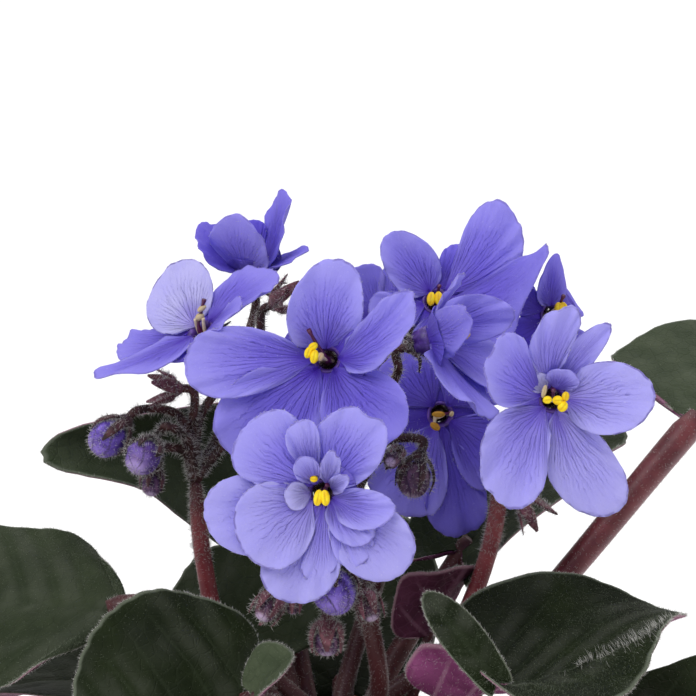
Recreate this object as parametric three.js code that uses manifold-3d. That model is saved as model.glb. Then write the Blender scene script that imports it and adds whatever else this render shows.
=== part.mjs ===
// An African violet in a plain clay pot, in millimetres, +Z up.
// The origin is the centre of the pot's flat base, and the flowers face -Y.
// Each leaf is one blade with its petiole. Each flower stalk is one body with its pedicels,
// calyxes and pistils. Petals and leaves are thin closed blades: a flat outline, drawn out
// from the point where the blade is attached, is bent along its length and across its width.

import * as THREE from 'three';
import { mergeVertices } from 'three/addons/utils/BufferGeometryUtils.js';
import Module from 'manifold-3d';

const wasm = await Module();
wasm.setup();

// Driving dimensions.
const GAP = 0.3;
const POT_HEIGHT = 90;
const POT_BASE_R = 35;
const POT_SHOULDER_R = 46.5;
const POT_RIM_R = 53;
const POT_RIM_HEIGHT = 21;
const POT_WALL = 4.5;
const POT_FLOOR = 6;
const POT_SIDES = 28;
const DRAIN_R = 4.5;
const DRAIN_RING_R = 19;
const DRAIN_HOLES = 3;
const SOIL_EDGE_Z = 79;
const SOIL_TOP_Z = 83;
const SOIL_MOUND_R = 30;
const CROWN_R = 7.5;
const CROWN_NECK_R = 4.8;
const CROWN_FOOT_Z = 62;
const CROWN_TOP_Z = 99;
const LEAF_THICK = 1.1;
const PETAL_THICK = 0.7;
const PETIOLE_ROOT_R = 2.1;
const PETIOLE_R = 2.5;
const PEDUNCLE_R = 2.1;
const PEDICEL_R = 0.85;
const TUBE_HOLE_R = 1.9;
const TUBE_R = 2.8;
const PETAL_ROOT_R = 2.1;
const TUBE_DEPTH = 3.4;
const CALYX_NOTCH_R = 1.7;
const STYLE_R = 0.45;
const SEPAL_LENGTH = 6.5;
const SEPAL_WIDTH = 1.9;
const SEPALS = 5;

// Colours of the materials.
const CLAY = { color: 0xb5663f, roughness: 0.85 };
const SOIL = { color: 0x2e211a, roughness: 1 };
const CROWN = { color: 0x5f3b33, roughness: 0.8 };
const LEAF = { color: 0x2f3d2a, roughness: 0.7 };
const STALK = { color: 0x6d3336, roughness: 0.6 };
const PETAL = { color: 0x7a6bdb, roughness: 0.6 };
const POLLEN = { color: 0xf2c80f, roughness: 0.5 };
const BUD = { color: 0x6c4fb0, roughness: 0.6 };

const plant = new THREE.Group();
const sky = new THREE.Vector3(0, 0, 1);
const rad = THREE.MathUtils.degToRad;

// Vectors and directions.
function vec(list) {
  return new THREE.Vector3(...list);
}

function heading(azimuth, rise) {
  const flat = Math.cos(rad(rise));
  return new THREE.Vector3(
    Math.cos(rad(azimuth)) * flat,
    Math.sin(rad(azimuth)) * flat,
    Math.sin(rad(rise)),
  );
}

// A blade's frame: out runs along the midrib, top is the side that faces the light.
function bladeFrame(origin, out, faces) {
  const top = faces.clone().addScaledVector(out, -faces.dot(out)).normalize();
  return { origin, out, top, side: out.clone().cross(top) };
}

// Solids.
function solid(geometry) {
  const bare = geometry.clone();
  for (const name of Object.keys(bare.attributes)) {
    if (name !== 'position') bare.deleteAttribute(name);
  }
  const merged = mergeVertices(bare, 1e-4);
  const index = merged.index.array;
  const kept = [];
  for (let i = 0; i < index.length; i += 3) {
    const [a, b, c] = index.slice(i, i + 3);
    if (a !== b && b !== c && a !== c) kept.push(a, b, c);
  }
  const vertProperties = merged.attributes.position.array;
  const build = (list) =>
    new wasm.Manifold(new wasm.Mesh({ numProp: 3, vertProperties, triVerts: new Uint32Array(list) }));
  const made = build(kept);
  return made.volume() < 0 ? build(kept.reverse()) : made;
}

function join(solids) {
  return solids.reduce((whole, piece) => whole.add(piece));
}

function largest(body) {
  return body.decompose().sort((a, b) => b.volume() - a.volume())[0];
}

function addMesh(group, name, body, material) {
  const data = body.getMesh();
  const geometry = new THREE.BufferGeometry();
  geometry.setAttribute('position', new THREE.BufferAttribute(data.vertProperties, 3));
  geometry.setIndex(new THREE.BufferAttribute(data.triVerts, 1));
  geometry.computeVertexNormals();
  const mesh = new THREE.Mesh(geometry, new THREE.MeshStandardMaterial(material));
  mesh.name = name;
  group.add(mesh);
  return mesh;
}

function lathe(profile, sides) {
  const points = profile.map(([r, z]) => new THREE.Vector2(r, z));
  return solid(new THREE.LatheGeometry(points, sides).rotateX(Math.PI / 2));
}

// A tapering stem along a smooth curve: a closed cylinder whose rings follow the curve.
function stem(points, startR, endR, sides, steps) {
  const curve = new THREE.CatmullRomCurve3(points, false, 'centripetal');
  return stemOn(curve, startR, endR, sides, steps);
}

function stemOn(curve, startR, endR, sides, steps) {
  const rings = [];
  let across = new THREE.Vector3(0.3, 0.5, 0.81);
  for (let i = 0; i <= steps; i += 1) {
    const along = curve.getTangentAt(i / steps);
    across = across.clone().addScaledVector(along, -across.dot(along)).normalize();
    rings.push({ centre: curve.getPointAt(i / steps), across, third: across.clone().cross(along) });
  }
  const geometry = new THREE.CylinderGeometry(1, 1, 1, sides, steps);
  const place = geometry.attributes.position;
  for (let i = 0; i < place.count; i += 1) {
    const share = place.getY(i) + 0.5;
    const ring = rings[Math.round(share * steps)];
    const r = startR + (endR - startR) * share;
    const spot = ring.centre
      .clone()
      .addScaledVector(ring.across, place.getX(i) * r)
      .addScaledVector(ring.third, place.getZ(i) * r);
    place.setXYZ(i, spot.x, spot.y, spot.z);
  }
  return solid(geometry);
}

// The middle surface of a blade. u runs from the attachment (0) to the edge (1), v from one
// side of the attachment (-1) round the tip (0) to the other (1). Angles are in degrees.
function bladePoint(frame, s, u, v) {
  const turn = Math.PI * (1 - Math.abs(v) * s.reach);
  const dip = (centre, spread) => Math.exp(-(((turn - centre) / spread) ** 2));
  const halfWidth = s.width / 2;
  const x = u * Math.sign(v) * halfWidth * Math.sin(turn);
  const rim = ((1 - Math.cos(turn)) / 2) ** s.widest;
  const tip = s.point * dip(Math.PI, 0.5) - s.notch * dip(Math.PI, 0.3);
  const y = u * s.length * (rim + tip - s.lobe * dip(0.7, 0.45));
  const share = y / s.length;
  const slope = rad(s.tilt + s.bend * share);
  const curl = rad(s.bend) / s.length;
  const start = rad(s.tilt);
  const out = (Math.sin(slope) - Math.sin(start)) / curl;
  const rise = (Math.cos(start) - Math.cos(slope)) / curl;
  const cupped = rad(s.cup + (s.cupTip - s.cup) * THREE.MathUtils.clamp(share, 0, 1)) / halfWidth;
  const across = Math.sin(cupped * x) / cupped + s.sway * y * share;
  const ripple = s.wave * u * u * Math.sin(s.waves * Math.PI * v + s.phase);
  const crease = Math.tan(rad(s.fold)) * (Math.hypot(x, 1) - 1);
  const lift = (1 - Math.cos(cupped * x)) / cupped + ripple + crease;
  return frame.origin
    .clone()
    .addScaledVector(frame.side, across)
    .addScaledVector(frame.out, out - lift * Math.sin(slope))
    .addScaledVector(frame.top, rise + lift * Math.cos(slope));
}

const PLAIN_BLADE = {
  widest: 0.75,
  point: 0,
  notch: 0,
  lobe: 0,
  tilt: 0,
  bend: -10,
  cup: 12,
  fold: 0,
  sway: 0,
  wave: 0,
  waves: 4,
  phase: 0,
  reach: 0.9,
  spokes: 6,
  rings: 3,
};

// A closed blade of even thickness, split into triangles alike on both faces. All of its
// spokes start from one edge at the attachment.
function blade(frame, wanted, thick) {
  const s = { ...PLAIN_BLADE, cupTip: wanted.cup ?? PLAIN_BLADE.cup, ...wanted };
  const spots = [];
  const step = 1e-3;
  for (let i = 0; i <= s.rings; i += 1) {
    for (let j = 0; j <= s.spokes; j += 1) {
      const u = i / s.rings;
      const v = -1 + (2 * j) / s.spokes;
      const [nearU, nearV] = i === 0 ? [0.1, 0] : [u, v];
      const outwards = bladePoint(frame, s, nearU + step, nearV).sub(bladePoint(frame, s, nearU, nearV));
      const ahead = bladePoint(frame, s, nearU, Math.min(nearV + step, 1));
      const sideways = ahead.sub(bladePoint(frame, s, nearU, Math.max(nearV - step, -1)));
      const normal = sideways.cross(outwards).normalize();
      const here = bladePoint(frame, s, u, v);
      spots.push(here.clone().addScaledVector(normal, thick / 2), here.addScaledVector(normal, -thick / 2));
    }
  }
  const upper = (i, j) => 2 * (i * (s.spokes + 1) + j);
  const faces = [];
  const bothFaces = (a, b, c) => faces.push(a, b, c, a + 1, c + 1, b + 1);
  const wall = (a, b) => faces.push(a + 1, a, b, a + 1, b, b + 1);
  for (let i = 0; i < s.rings; i += 1) {
    for (let j = 0; j < s.spokes; j += 1) {
      const [near, nearNext] = [upper(i, j), upper(i, j + 1)];
      const [far, farNext] = [upper(i + 1, j), upper(i + 1, j + 1)];
      const leftHalf = j < s.spokes / 2;
      bothFaces(near, nearNext, leftHalf ? far : farNext);
      bothFaces(leftHalf ? nearNext : near, farNext, far);
    }
    wall(upper(i, 0), upper(i + 1, 0));
    wall(upper(i + 1, s.spokes), upper(i, s.spokes));
  }
  for (let j = 0; j < s.spokes; j += 1) wall(upper(s.rings, j), upper(s.rings, j + 1));
  const geometry = new THREE.BufferGeometry();
  const numbers = spots.flatMap((spot) => spot.toArray());
  geometry.setAttribute('position', new THREE.Float32BufferAttribute(numbers, 3));
  geometry.setIndex(faces);
  return solid(geometry);
}

// The pot: a plain clay pot with a deep rim and three drainage holes in its floor.
const SHOULDER_Z = POT_HEIGHT - POT_RIM_HEIGHT;
const RIM_INNER_R = POT_RIM_R - POT_WALL;
const FLOOR_INNER_R = POT_BASE_R - POT_WALL + 1;
const SHOULDER_INNER_R = POT_SHOULDER_R - POT_WALL;
const RIM_ROUND = 1.5;

function potBody() {
  const profile = [
    [0, 0],
    [POT_BASE_R, 0],
    [POT_SHOULDER_R, SHOULDER_Z],
    [POT_RIM_R - RIM_ROUND, SHOULDER_Z],
    [POT_RIM_R, SHOULDER_Z + RIM_ROUND],
    [POT_RIM_R, POT_HEIGHT - RIM_ROUND],
    [POT_RIM_R - RIM_ROUND, POT_HEIGHT],
    [RIM_INNER_R + RIM_ROUND, POT_HEIGHT],
    [RIM_INNER_R, POT_HEIGHT - RIM_ROUND],
    [SHOULDER_INNER_R, SHOULDER_Z],
    [FLOOR_INNER_R, POT_FLOOR],
    [0, POT_FLOOR],
  ];
  let body = lathe(profile, POT_SIDES);
  for (let i = 0; i < DRAIN_HOLES; i += 1) {
    const turn = rad(90 + (360 * i) / DRAIN_HOLES);
    const hole = new THREE.CylinderGeometry(DRAIN_R, DRAIN_R, 3 * POT_FLOOR, 10).rotateX(Math.PI / 2);
    hole.translate(DRAIN_RING_R * Math.cos(turn), DRAIN_RING_R * Math.sin(turn), 0);
    body = body.subtract(solid(hole));
  }
  return body;
}

// The potting mix fills the pot and has a plain hole for the foot of the crown.
function innerWallR(z) {
  const share = (z - SHOULDER_Z) / (POT_HEIGHT - RIM_ROUND - SHOULDER_Z);
  return SHOULDER_INNER_R + (RIM_INNER_R - SHOULDER_INNER_R) * share;
}

function soilBody() {
  const holeR = CROWN_R + GAP;
  const profile = [
    [0, POT_FLOOR + GAP],
    [FLOOR_INNER_R - GAP, POT_FLOOR + GAP],
    [SHOULDER_INNER_R - GAP, SHOULDER_Z],
    [innerWallR(SOIL_EDGE_Z) - GAP, SOIL_EDGE_Z],
    [SOIL_MOUND_R, SOIL_TOP_Z - 1],
    [holeR, SOIL_TOP_Z],
    [holeR, CROWN_FOOT_Z - GAP],
    [0, CROWN_FOOT_Z - GAP],
  ];
  return lathe(profile, POT_SIDES);
}

// The crown: the short thick stem that every leaf and flower stalk grows from.
function crownBody(grow) {
  const profile = [
    [0, CROWN_FOOT_Z - grow],
    [CROWN_R + grow, CROWN_FOOT_Z - grow],
    [CROWN_R + grow, CROWN_TOP_Z - 5],
    [CROWN_NECK_R + grow, CROWN_TOP_Z + grow],
    [0, CROWN_TOP_Z + grow],
  ];
  return lathe(profile, 11);
}

const crownSpace = crownBody(GAP);
addMesh(plant, 'pot', potBody(), CLAY);
addMesh(plant, 'soil', soilBody(), SOIL);
addMesh(plant, 'crown', crownBody(0), CROWN);

// Leaves. root is [azimuth, height] on the crown and lean the petiole's first slope. base is
// where the blade begins, aim [azimuth, rise] the way its midrib runs there, and faces
// [azimuth, rise] the way its upper side looks. come is the petiole's own end direction where
// it meets the blade at an angle. Azimuth 0 is +X and 90 is +Y. Leaves shorter than SLIM_LEAF
// have thinner petioles, and stout thickens one towards its blade. curl is a strip of the margin
// that turns up.
const UPPER = 91.5;
const LOWER = 86;
const LEAVES = {
  leaf_left: { root: [196, UPPER], lean: 62, base: [-42.5, -15, 128], aim: [158, -2], faces: [-86, 59],
    come: [196, -8], length: 57.5, width: 45.5, bend: -4, cup: -32, cupTip: 9, sway: 0.03, lobe: -0.07,
    widest: 1.02, wave: 0.8, waves: 7, phase: 0.6 },
  leaf_front_left: { root: [236, UPPER], lean: 58, base: [-17.5, -24, 112], aim: [205, 8], faces: [-92, 27],
    length: 33, width: 42.5, bend: -26, cup: 5, cupTip: 16, sway: 0.04, lobe: 0.17, widest: 1.04, wave: 0.7,
    waves: 8, phase: 2.1 },
  leaf_young: { root: [252, LOWER], lean: 18, base: [-16, -40, 118.5], aim: [325, 60], faces: [-120, 61],
    come: [240, 60], length: 11.5, width: 12.5, bend: -32, cup: 30, cupTip: 37, sway: 0.02, lobe: 0.14,
    widest: 1.04, wave: 0.2, waves: 4 },
  leaf_cupped: { root: [303, UPPER], lean: 25, base: [24.5, -22, 114], aim: [335, 10], faces: [-51, 74],
    come: [325, 60], length: 43, width: 55.5, bend: 24, cup: 118, cupTip: -57, sway: -0.11, lobe: 0.3,
    widest: 0.76, wave: 0.6, waves: 6, phase: 1,
    curl: { base: [29, -51.5, 125], aim: [142, 43], faces: [-80, 20], length: 21, width: 8, bend: -12,
    cup: 20 } },
  leaf_right_low: { root: [332, LOWER], lean: 22, base: [50.5, -15, 97.5], aim: [351, 9], faces: [-88, 56],
    length: 48, width: 41, bend: -19, cup: 4, cupTip: 16, sway: -0.11, lobe: 0.14, widest: 1.02, wave: 0.9,
    waves: 7, phase: 0.3 },
  leaf_back_left: { root: [122, UPPER], lean: 50, base: [-17, 28, 141], aim: [172, 40], faces: [-106, 47],
    come: [190, 60], length: 42.5, width: 35, bend: 40, cup: 14, cupTip: 125, sway: -0.6, lobe: 0.2,
    widest: 1.53, wave: 0.6, waves: 6, phase: 2.5 },
  leaf_behind_left: { root: [161, UPPER], lean: 45, base: [-12, 5, 112], aim: [156, 44], faces: [-94, 20],
    length: 27, width: 34, bend: -16, cup: 13, wave: 0.7, waves: 7, phase: 1.2, rings: 2 },
  leaf_behind_right: { root: [57, UPPER], lean: 60, base: [26, 14, 133], aim: [41, 34], faces: [-135, 59],
    come: [-15, 60], length: 49, width: 34.5, bend: -21, cup: 33, cupTip: 20, sway: -0.03, lobe: 0.25,
    widest: 1.21, wave: 0.8, waves: 6, phase: 0.4 },
  leaf_inner: { root: [34, 87], lean: 45, stout: 0.85, base: [18.5, 6, 117], aim: [-29, 71],
    faces: [137, 22], come: [60, 75], length: 18.5, width: 23.5, bend: -28, cup: 43, cupTip: 36, sway: 0.07,
    lobe: 0.18, widest: 0.84, wave: 0.5, waves: 5, phase: 0.9, rings: 2 },
  leaf_right: { root: [8, UPPER], lean: 36, stout: 1.25, base: [75, 24, 157.5], aim: [62, 24],
    faces: [-128, 58], come: [20, 45], length: 52.5, width: 52.5, bend: -13, cup: 25, cupTip: 8, sway: 0.17,
    lobe: -0.18, widest: 1.26, wave: 0.8, waves: 6, phase: 2 },
  leaf_back: { root: [90, LOWER], lean: 40, base: [1, 28, 98], aim: [93, 54], faces: [-87, 36], length: 49,
    width: 44, bend: -22, cup: 14, wave: 0.9, waves: 7, phase: 0.2, rings: 2 },
  leaf_back_low: { root: [130, LOWER], lean: 28, base: [-36, 37, 104], aim: [136, 4], faces: [-44, 84],
    length: 46, width: 43, bend: -40, cup: 12, wave: 0.9, waves: 6, phase: 1.7, rings: 2 },
  leaf_front_low: { root: [290, LOWER], lean: 18, base: [8, -42, 99], aim: [281, 0], faces: [101, 84],
    length: 46, width: 43, bend: -54, cup: 12, wave: 0.9, waves: 7, phase: 0.9, rings: 2 },
  leaf_left_front_low: { root: [214, LOWER], lean: 18, base: [-34, -26, 93.5], aim: [214, -4],
    faces: [34, 84], length: 45, width: 42, bend: -50, cup: 12, wave: 0.9, waves: 6, phase: 2.4, rings: 2 },
  leaf_right_back_low: { root: [58, LOWER], lean: 24, base: [40, 36, 104], aim: [66, 2], faces: [-114, 84],
    length: 44, width: 43, bend: -42, cup: 12, wave: 0.9, waves: 7, phase: 1.4, rings: 2 },
  leaf_left_low: { root: [172, LOWER], lean: 22, base: [-50, 8, 106], aim: [172, 4], faces: [-8, 84],
    length: 46, width: 43, bend: -44, cup: 12, wave: 0.9, waves: 6, phase: 0.5, rings: 2 },
};
const SLIM_LEAF = 34;
const LEAF_BLADE = { widest: 1.1, point: 0.03, lobe: 0.16, fold: 4, reach: 0.93, spokes: 8, rings: 3 };

// The petiole leaves the crown sideways, runs up to the blade and goes a little way under it.
function petiole(leaf) {
  const [azimuth, height] = leaf.root;
  const start = heading(azimuth, 0).multiplyScalar(CROWN_R - 2).setZ(height - 1);
  const aim = heading(...(leaf.come ?? leaf.aim));
  const end = vec(leaf.base).addScaledVector(heading(...leaf.aim), 0.06 * leaf.length);
  const span = start.distanceTo(end);
  const first = start.clone().addScaledVector(heading(azimuth, leaf.lean), 0.4 * span);
  const last = end.clone().addScaledVector(aim, -0.36 * span);
  return new THREE.CubicBezierCurve3(start, first, last, end);
}

function leafBlade(shape) {
  const frame = bladeFrame(vec(shape.base), heading(...shape.aim), heading(...shape.faces));
  return blade(frame, { ...LEAF_BLADE, ...shape }, LEAF_THICK);
}

for (const [name, leaf] of Object.entries(LEAVES)) {
  const slim = Math.min(1, leaf.length / SLIM_LEAF);
  const endR = PETIOLE_R * slim * (leaf.stout ?? 1);
  const parts = [stemOn(petiole(leaf), PETIOLE_ROOT_R * slim, endR, 5, 5), leafBlade(leaf)];
  if (leaf.curl) parts.push(leafBlade(leaf.curl));
  const body = largest(join(parts).subtract(crownSpace));
  addMesh(plant, name, body, LEAF);
}

// Blooms. at is the throat, yaw and pitch the way the bloom faces: yaw 0 is -Y, 90 is +X, and
// a positive pitch looks up. Each petal is [angle, length, width, tilt, bend, cup], with the
// angle counted from the bloom's right and tilt forwards from the plane of the throat. anthers is
// the middle of the yellow pair and how far it is turned, and style is the tip of the pistil.
const BLOOMS = {
  a: { at: [-17.5, 16, 191.3], yaw: -10, pitch: 72,
    anthers: [0, 0.5, 4.2, 0], style: [0.8, 3, 5.4], petals: [
    [181, 13, 13, 43, 10, 2, { widest: 0.75, sway: 0.02, twist: -5 }],
    [251, 15, 14, 67, 22, -5, { widest: 1.3, sway: -0.18, twist: 10 }],
    [26, 16.5, 11.5, 61, 11, 15, { widest: 0.9, sway: -0.14, twist: -2 }],
    [353, 11, 8, 30, -3, 14, { widest: 0.95, sway: -0.04, twist: -3 }],
    [89, 9.5, 6, 53, 11, 20, { widest: 0.4, sway: -0.02, twist: -7 }]] },
  b: { at: [-27, -8, 183], yaw: -50, pitch: 55,
    anthers: [0.6, 0.8, 2.9, 20], style: [1.4, 3.6, 5.2], petals: [
    [76, 16.5, 15, 11, -14, 13, { widest: 0.7, sway: 0.08 }],
    [163, 13.5, 15, 44, -6, -2, { widest: 0.95, sway: 0.28 }],
    [204, 20, 10, -9, 8, -8, { widest: 0.35, sway: 0.14 }],
    [259, 19.5, 10, 9, 9, -4, { widest: 1.2, sway: 0.2, point: 0.03 }], [5, 12, 11, 30, -12, 20]] },
  c: { at: [-2, -18, 179], yaw: -4, pitch: 14,
    anthers: [-2.4, 0.9, 4.6, -38], style: [-3.2, 5.2, 6], petals: [
    [96, 19, 15.5, 42, -18, 36, { widest: 1.05, sway: 0.18 }],
    [5, 21, 11.5, 45, -11, 30, { widest: 0.7, sway: -0.4 }],
    [183, 25.5, 14, 25, -30, 19, { widest: 0.6, sway: -0.02 }],
    [228, 24.5, 19, 24, -39, 17, { widest: 0.7, sway: 0.02 }],
    [305, 20.5, 17, 33, -15, 26, { widest: 0.65, sway: -0.05 }]] },
  d: { at: [-2.9, -36, 156.7], yaw: -3, pitch: 8,
    anthers: [0, -0.7, 4.6, 10], style: [1.2, 1.9, 2.8], petals: [
    [138, 17, 15, 19, -18, 16], [63, 16.5, 13.5, 22, -24, 17, { widest: 0.95, sway: 0.06, notch: 0.08 }],
    [200, 20, 15.5, 10, -10, 10, { widest: 0.75, sway: 0.1 }],
    [256, 19, 14.5, 8, -5, 9, { widest: 0.7, sway: 0.06 }],
    [318, 19, 14, 13, -12, 15, { widest: 0.75, sway: -0.02 }],
    [211, 16, 16, 25, -21, 9, { widest: 0.8, sway: -0.06 }],
    [275, 14, 7, 17, -22, 9, { widest: 0.5, sway: 0.16 }],
    [336, 12.5, 8, 31, -19, 17, { widest: 0.85, sway: -0.2 }],
    [315, 11, 7.5, 29, -24, 15, { widest: 0.9, sway: -0.04 }],
    [111, 13, 6.5, 32, -25, 20, { widest: 0.4, sway: 0.08 }],
    [184, 5.5, 5.5, 44, -25, 24, { widest: 0.7, sway: -0.02 }],
    [67, 10.5, 4, 56, -11, 24, { widest: 0.85, sway: -0.08 }],
    [305, 13, 8, 19, -18, 14, { widest: 0.5, sway: 0.06 }],
    [29, 8, 3.5, 65, -14, 29, { widest: 1.1, sway: -0.1 }], [118, 8, 5, 58, -30, 30]] },
  e: { at: [20.2, 21, 184.2], yaw: -4, pitch: 26,
    anthers: [-0.3, -0.9, 4.8, 10], style: [0.9, 1.9, 4.8], petals: [
    [126, 15, 11, 28, -9, 20, { widest: 1.15, sway: -0.04 }], [200, 12, 11, 4, -14, 12],
    [40, 22.5, 15, 3, -5, -23, { widest: 0.5, sway: -0.24 }],
    [-18, 19.5, 23.5, 16, 36, -31, { widest: 0.5, sway: -0.45, twist: -5, point: 0.14 }],
    [270, 13, 13, 0, -10, 12], [68, 12, 6, -5, -10, 11, { widest: 0.65 }]] },
  f: { at: [44.6, 22, 181], yaw: 20, pitch: 14,
    anthers: [0, 1, 4.6, 0], style: [0.4, 3.6, 5.6], petals: [
    [94, 9, 6.5, 15, 2, 9, { widest: 1.5, sway: 0.12, point: 0.2 }],
    [33, 4, 9.5, 2, -18, 19, { widest: 0.35, sway: -0.24, point: 0.08 }], [150, 12, 9, 5, -16, 12],
    [212, 12.5, 11, 10, -18, 12], [300, 8.5, 8, 12, -18, 12]] },
  g: { at: [18.5, -9, 181.5], yaw: 72, pitch: 22,
    anthers: [0, -0.3, 6.2, 0], style: [0.6, 2.2, 6.5], petals: [
    [93, 13.5, 5, 48, 12, 12, { sway: 0.04, twist: -7 }],
    [8, 16, 10, 59, 4, 8, { widest: 1, sway: 0.24, twist: -7 }],
    [171, 14, 9.5, 56, 2, 8, { widest: 1.35, sway: 0.18, twist: -10 }],
    [241, 20, 17.5, 20, 10, 6, { widest: 0.8, sway: 0.02, twist: 10 }],
    [303, 14, 15.5, 39, -11, 24, { widest: 0.45, sway: 0.08 }]] },
  h: { at: [21, 12, 162], yaw: 2, pitch: 6,
    anthers: [-1.2, -1.2, 4.8, 75], style: [1.9, 0.9, 5.5], petals: [
    [280, 23.5, 13, 4, -14, 18], [244, 20, 16.5, 8, -14, 12], [325, 17, 17, 8, -14, 12],
    [128, 14, 16, 18, -14, 14], [52, 14, 17, 18, -14, 14]] },
  i: { at: [41.2, -22, 172], yaw: 4, pitch: 10,
    anthers: [0.6, -0.6, 4.8, -20], style: [-0.6, 1.8, 5.4], petals: [
    [158, 16, 13.5, 41, -15, 23, { widest: 0.45, sway: 0.2 }],
    [103, 16.5, 9.5, 31, -6, 18, { widest: 0.5, sway: 0.3 }],
    [63, 16, 6, 23, -9, 26, { widest: 1.15, sway: 0.16 }],
    [0, 18, 14, 33, -12, 17, { widest: 1, sway: -0.02 }],
    [288, 22.5, 13.5, 10, -17, 6, { widest: 0.75, sway: -0.16 }],
    [225, 22.5, 15.5, 32, -7, 23, { widest: 0.65, sway: -0.18 }],
    [69, 5.5, 6.5, 57, -22, 18, { widest: 0.7, sway: 0.08 }], [133, 4.5, 4.2, 50, -40, 30]] },
  j: { at: [9.5, 34, 176], yaw: 176, pitch: 20,
    anthers: [0, -0.7, 4.8, 0], style: [0.9, 2.6, 7.2], petals: [
    [62, 13, 12, 18, -12, 18], [118, 13, 12, 18, -12, 18], [196, 16, 14, 10, -20, 10],
    [268, 18, 16, 8, -22, 10], [338, 16, 14, 10, -20, 10]] },
};

// A group placed at a throat, with its own +Z the way the flower faces and +Y uppermost.
function facingGroup({ at, yaw, pitch }) {
  const front = heading(yaw - 90, pitch);
  const top = sky.clone().addScaledVector(front, -sky.dot(front)).normalize();
  const right = top.clone().cross(front);
  const group = new THREE.Group();
  group.quaternion.setFromRotationMatrix(new THREE.Matrix4().makeBasis(right, top, front));
  group.position.copy(vec(at));
  group.updateMatrix();
  return group;
}

function placed(body, group) {
  return body.transform(group.matrix.elements);
}

// The corolla: petals that grow together into a short tube round the pistil.
// Longer petals ripple more, and each petal's ripples start a little further round.
const PETAL_BLADE = { widest: 0.55, reach: 0.82, spokes: 6 };
// A petal shorter than this is built with one ring fewer.
const SHORT_PETAL = 15;
const PETAL_RIPPLE = 0.022;
const PHASE_STEP = 1.7;

function corolla(petals) {
  const front = 0.2;
  const tube = lathe([
    [TUBE_HOLE_R, -TUBE_DEPTH],
    [TUBE_R - 0.4, -TUBE_DEPTH],
    [TUBE_R, front],
    [TUBE_HOLE_R + 0.2, front],
    [TUBE_HOLE_R, -TUBE_DEPTH],
  ], 7);
  const blades = petals.map(([angle, length, width, tilt, bend, cup, more], i) => {
    const out = heading(angle, 0);
    const faces = sky.clone().applyAxisAngle(out, rad(more?.twist ?? 0));
    const frame = bladeFrame(out.clone().multiplyScalar(PETAL_ROOT_R), out, faces);
    const ripples = { wave: PETAL_RIPPLE * length, phase: PHASE_STEP * i };
    const rings = length < SHORT_PETAL ? 1 : 2;
    const shape = { ...PETAL_BLADE, rings, length, width, tilt, bend, cup, ...ripples, ...more };
    return blade(frame, shape, PETAL_THICK);
  });
  return largest(join([tube, ...blades]));
}

// The pistil stands in the middle of the tube and leans over, with its tip at [x, y, z].
const FLOWER_SEAT = TUBE_DEPTH + GAP;

function pistil([x, y, z], r) {
  const path = [[0, 0, -FLOWER_SEAT - 1], [0, 0.1, 1], [0.55 * x, 0.5 * y, 0.62 * z], [x, y, z]].map(vec);
  return stem(path, r, r, 3, 3);
}

// The stamens: two yellow anthers joined side by side, on filaments that rise from the tube
// beside the pistil. The pair's middle is at [x, y, z], turned by spin.
const ANTHER_PAIR = { wide: 2.4, deep: 1.8, tall: 1.4, waist: 0.45 };
const FILAMENT_R = 0.4;

function stamens([x, y, z, spin]) {
  const anthers = new THREE.SphereGeometry(1, 6, 4);
  const place = anthers.attributes.position;
  for (let i = 0; i < place.count; i += 1) {
    const share = Math.abs(place.getX(i));
    const swell = 1 - ANTHER_PAIR.waist * (1 - share) ** 2;
    place.setXYZ(
      i,
      place.getX(i) * ANTHER_PAIR.wide,
      place.getY(i) * ANTHER_PAIR.deep * swell,
      place.getZ(i) * ANTHER_PAIR.tall * swell,
    );
  }
  const parts = [solid(anthers.rotateX(0.5).rotateZ(rad(spin)).translate(x, y, z))];
  const across = heading(spin, 0);
  for (const hand of [-1, 1]) {
    const top = vec([x, y, z - FILAMENT_R]).addScaledVector(across, hand);
    parts.push(stem([vec([hand * 1.2, -0.3, -TUBE_DEPTH + FILAMENT_R]), top], FILAMENT_R, FILAMENT_R, 3, 1));
  }
  return join(parts);
}

for (const [key, bloom] of Object.entries(BLOOMS)) {
  const group = facingGroup(bloom);
  const petals = corolla(bloom.petals);
  const clear = petals.add(petals.translate([0, 0, GAP])).add(pistil(bloom.style, STYLE_R + GAP));
  addMesh(group, `bloom_${key}_corolla`, petals, PETAL);
  addMesh(group, `bloom_${key}_stamens`, largest(stamens(bloom.anthers).subtract(clear)), POLLEN);
  plant.add(group);
}

// Buds. size is the half width of the closed petals, which sit in their calyx.
const BUDS = {
  left_open: { at: [-46, -4, 160.3], yaw: -75, pitch: -42, size: 3.6 },
  left_round: { at: [-38.5, -10, 157.8], yaw: -25, pitch: -28, size: 3.4 },
  left_small: { at: [-37.2, -5, 151], yaw: -10, pitch: -60, size: 2 },
  middle: { at: [14.9, -15.5, 154.6], yaw: -50, pitch: -72, size: 3.2 },
  middle_small: { at: [10.6, -19, 159.4], yaw: -15, pitch: -8, size: 1.7 },
  low_left: { at: [-13.4, -34, 133.6], yaw: -35, pitch: -35, size: 2.2 },
  low_tiny: { at: [-8.5, -31, 133.3], yaw: -10, pitch: -75, size: 1.3 },
  low_violet: { at: [-0.5, -34, 137], yaw: 10, pitch: -52, size: 4 },
  low_pink: { at: [-2, -31, 126.5], yaw: 0, pitch: -65, size: 2.6 },
  low_right: { at: [6.2, -31, 132.6], yaw: 20, pitch: -45, size: 2 },
};
const BUD_LENGTH = 1.1;
const BUD_FURROW = 0.09;

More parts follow.
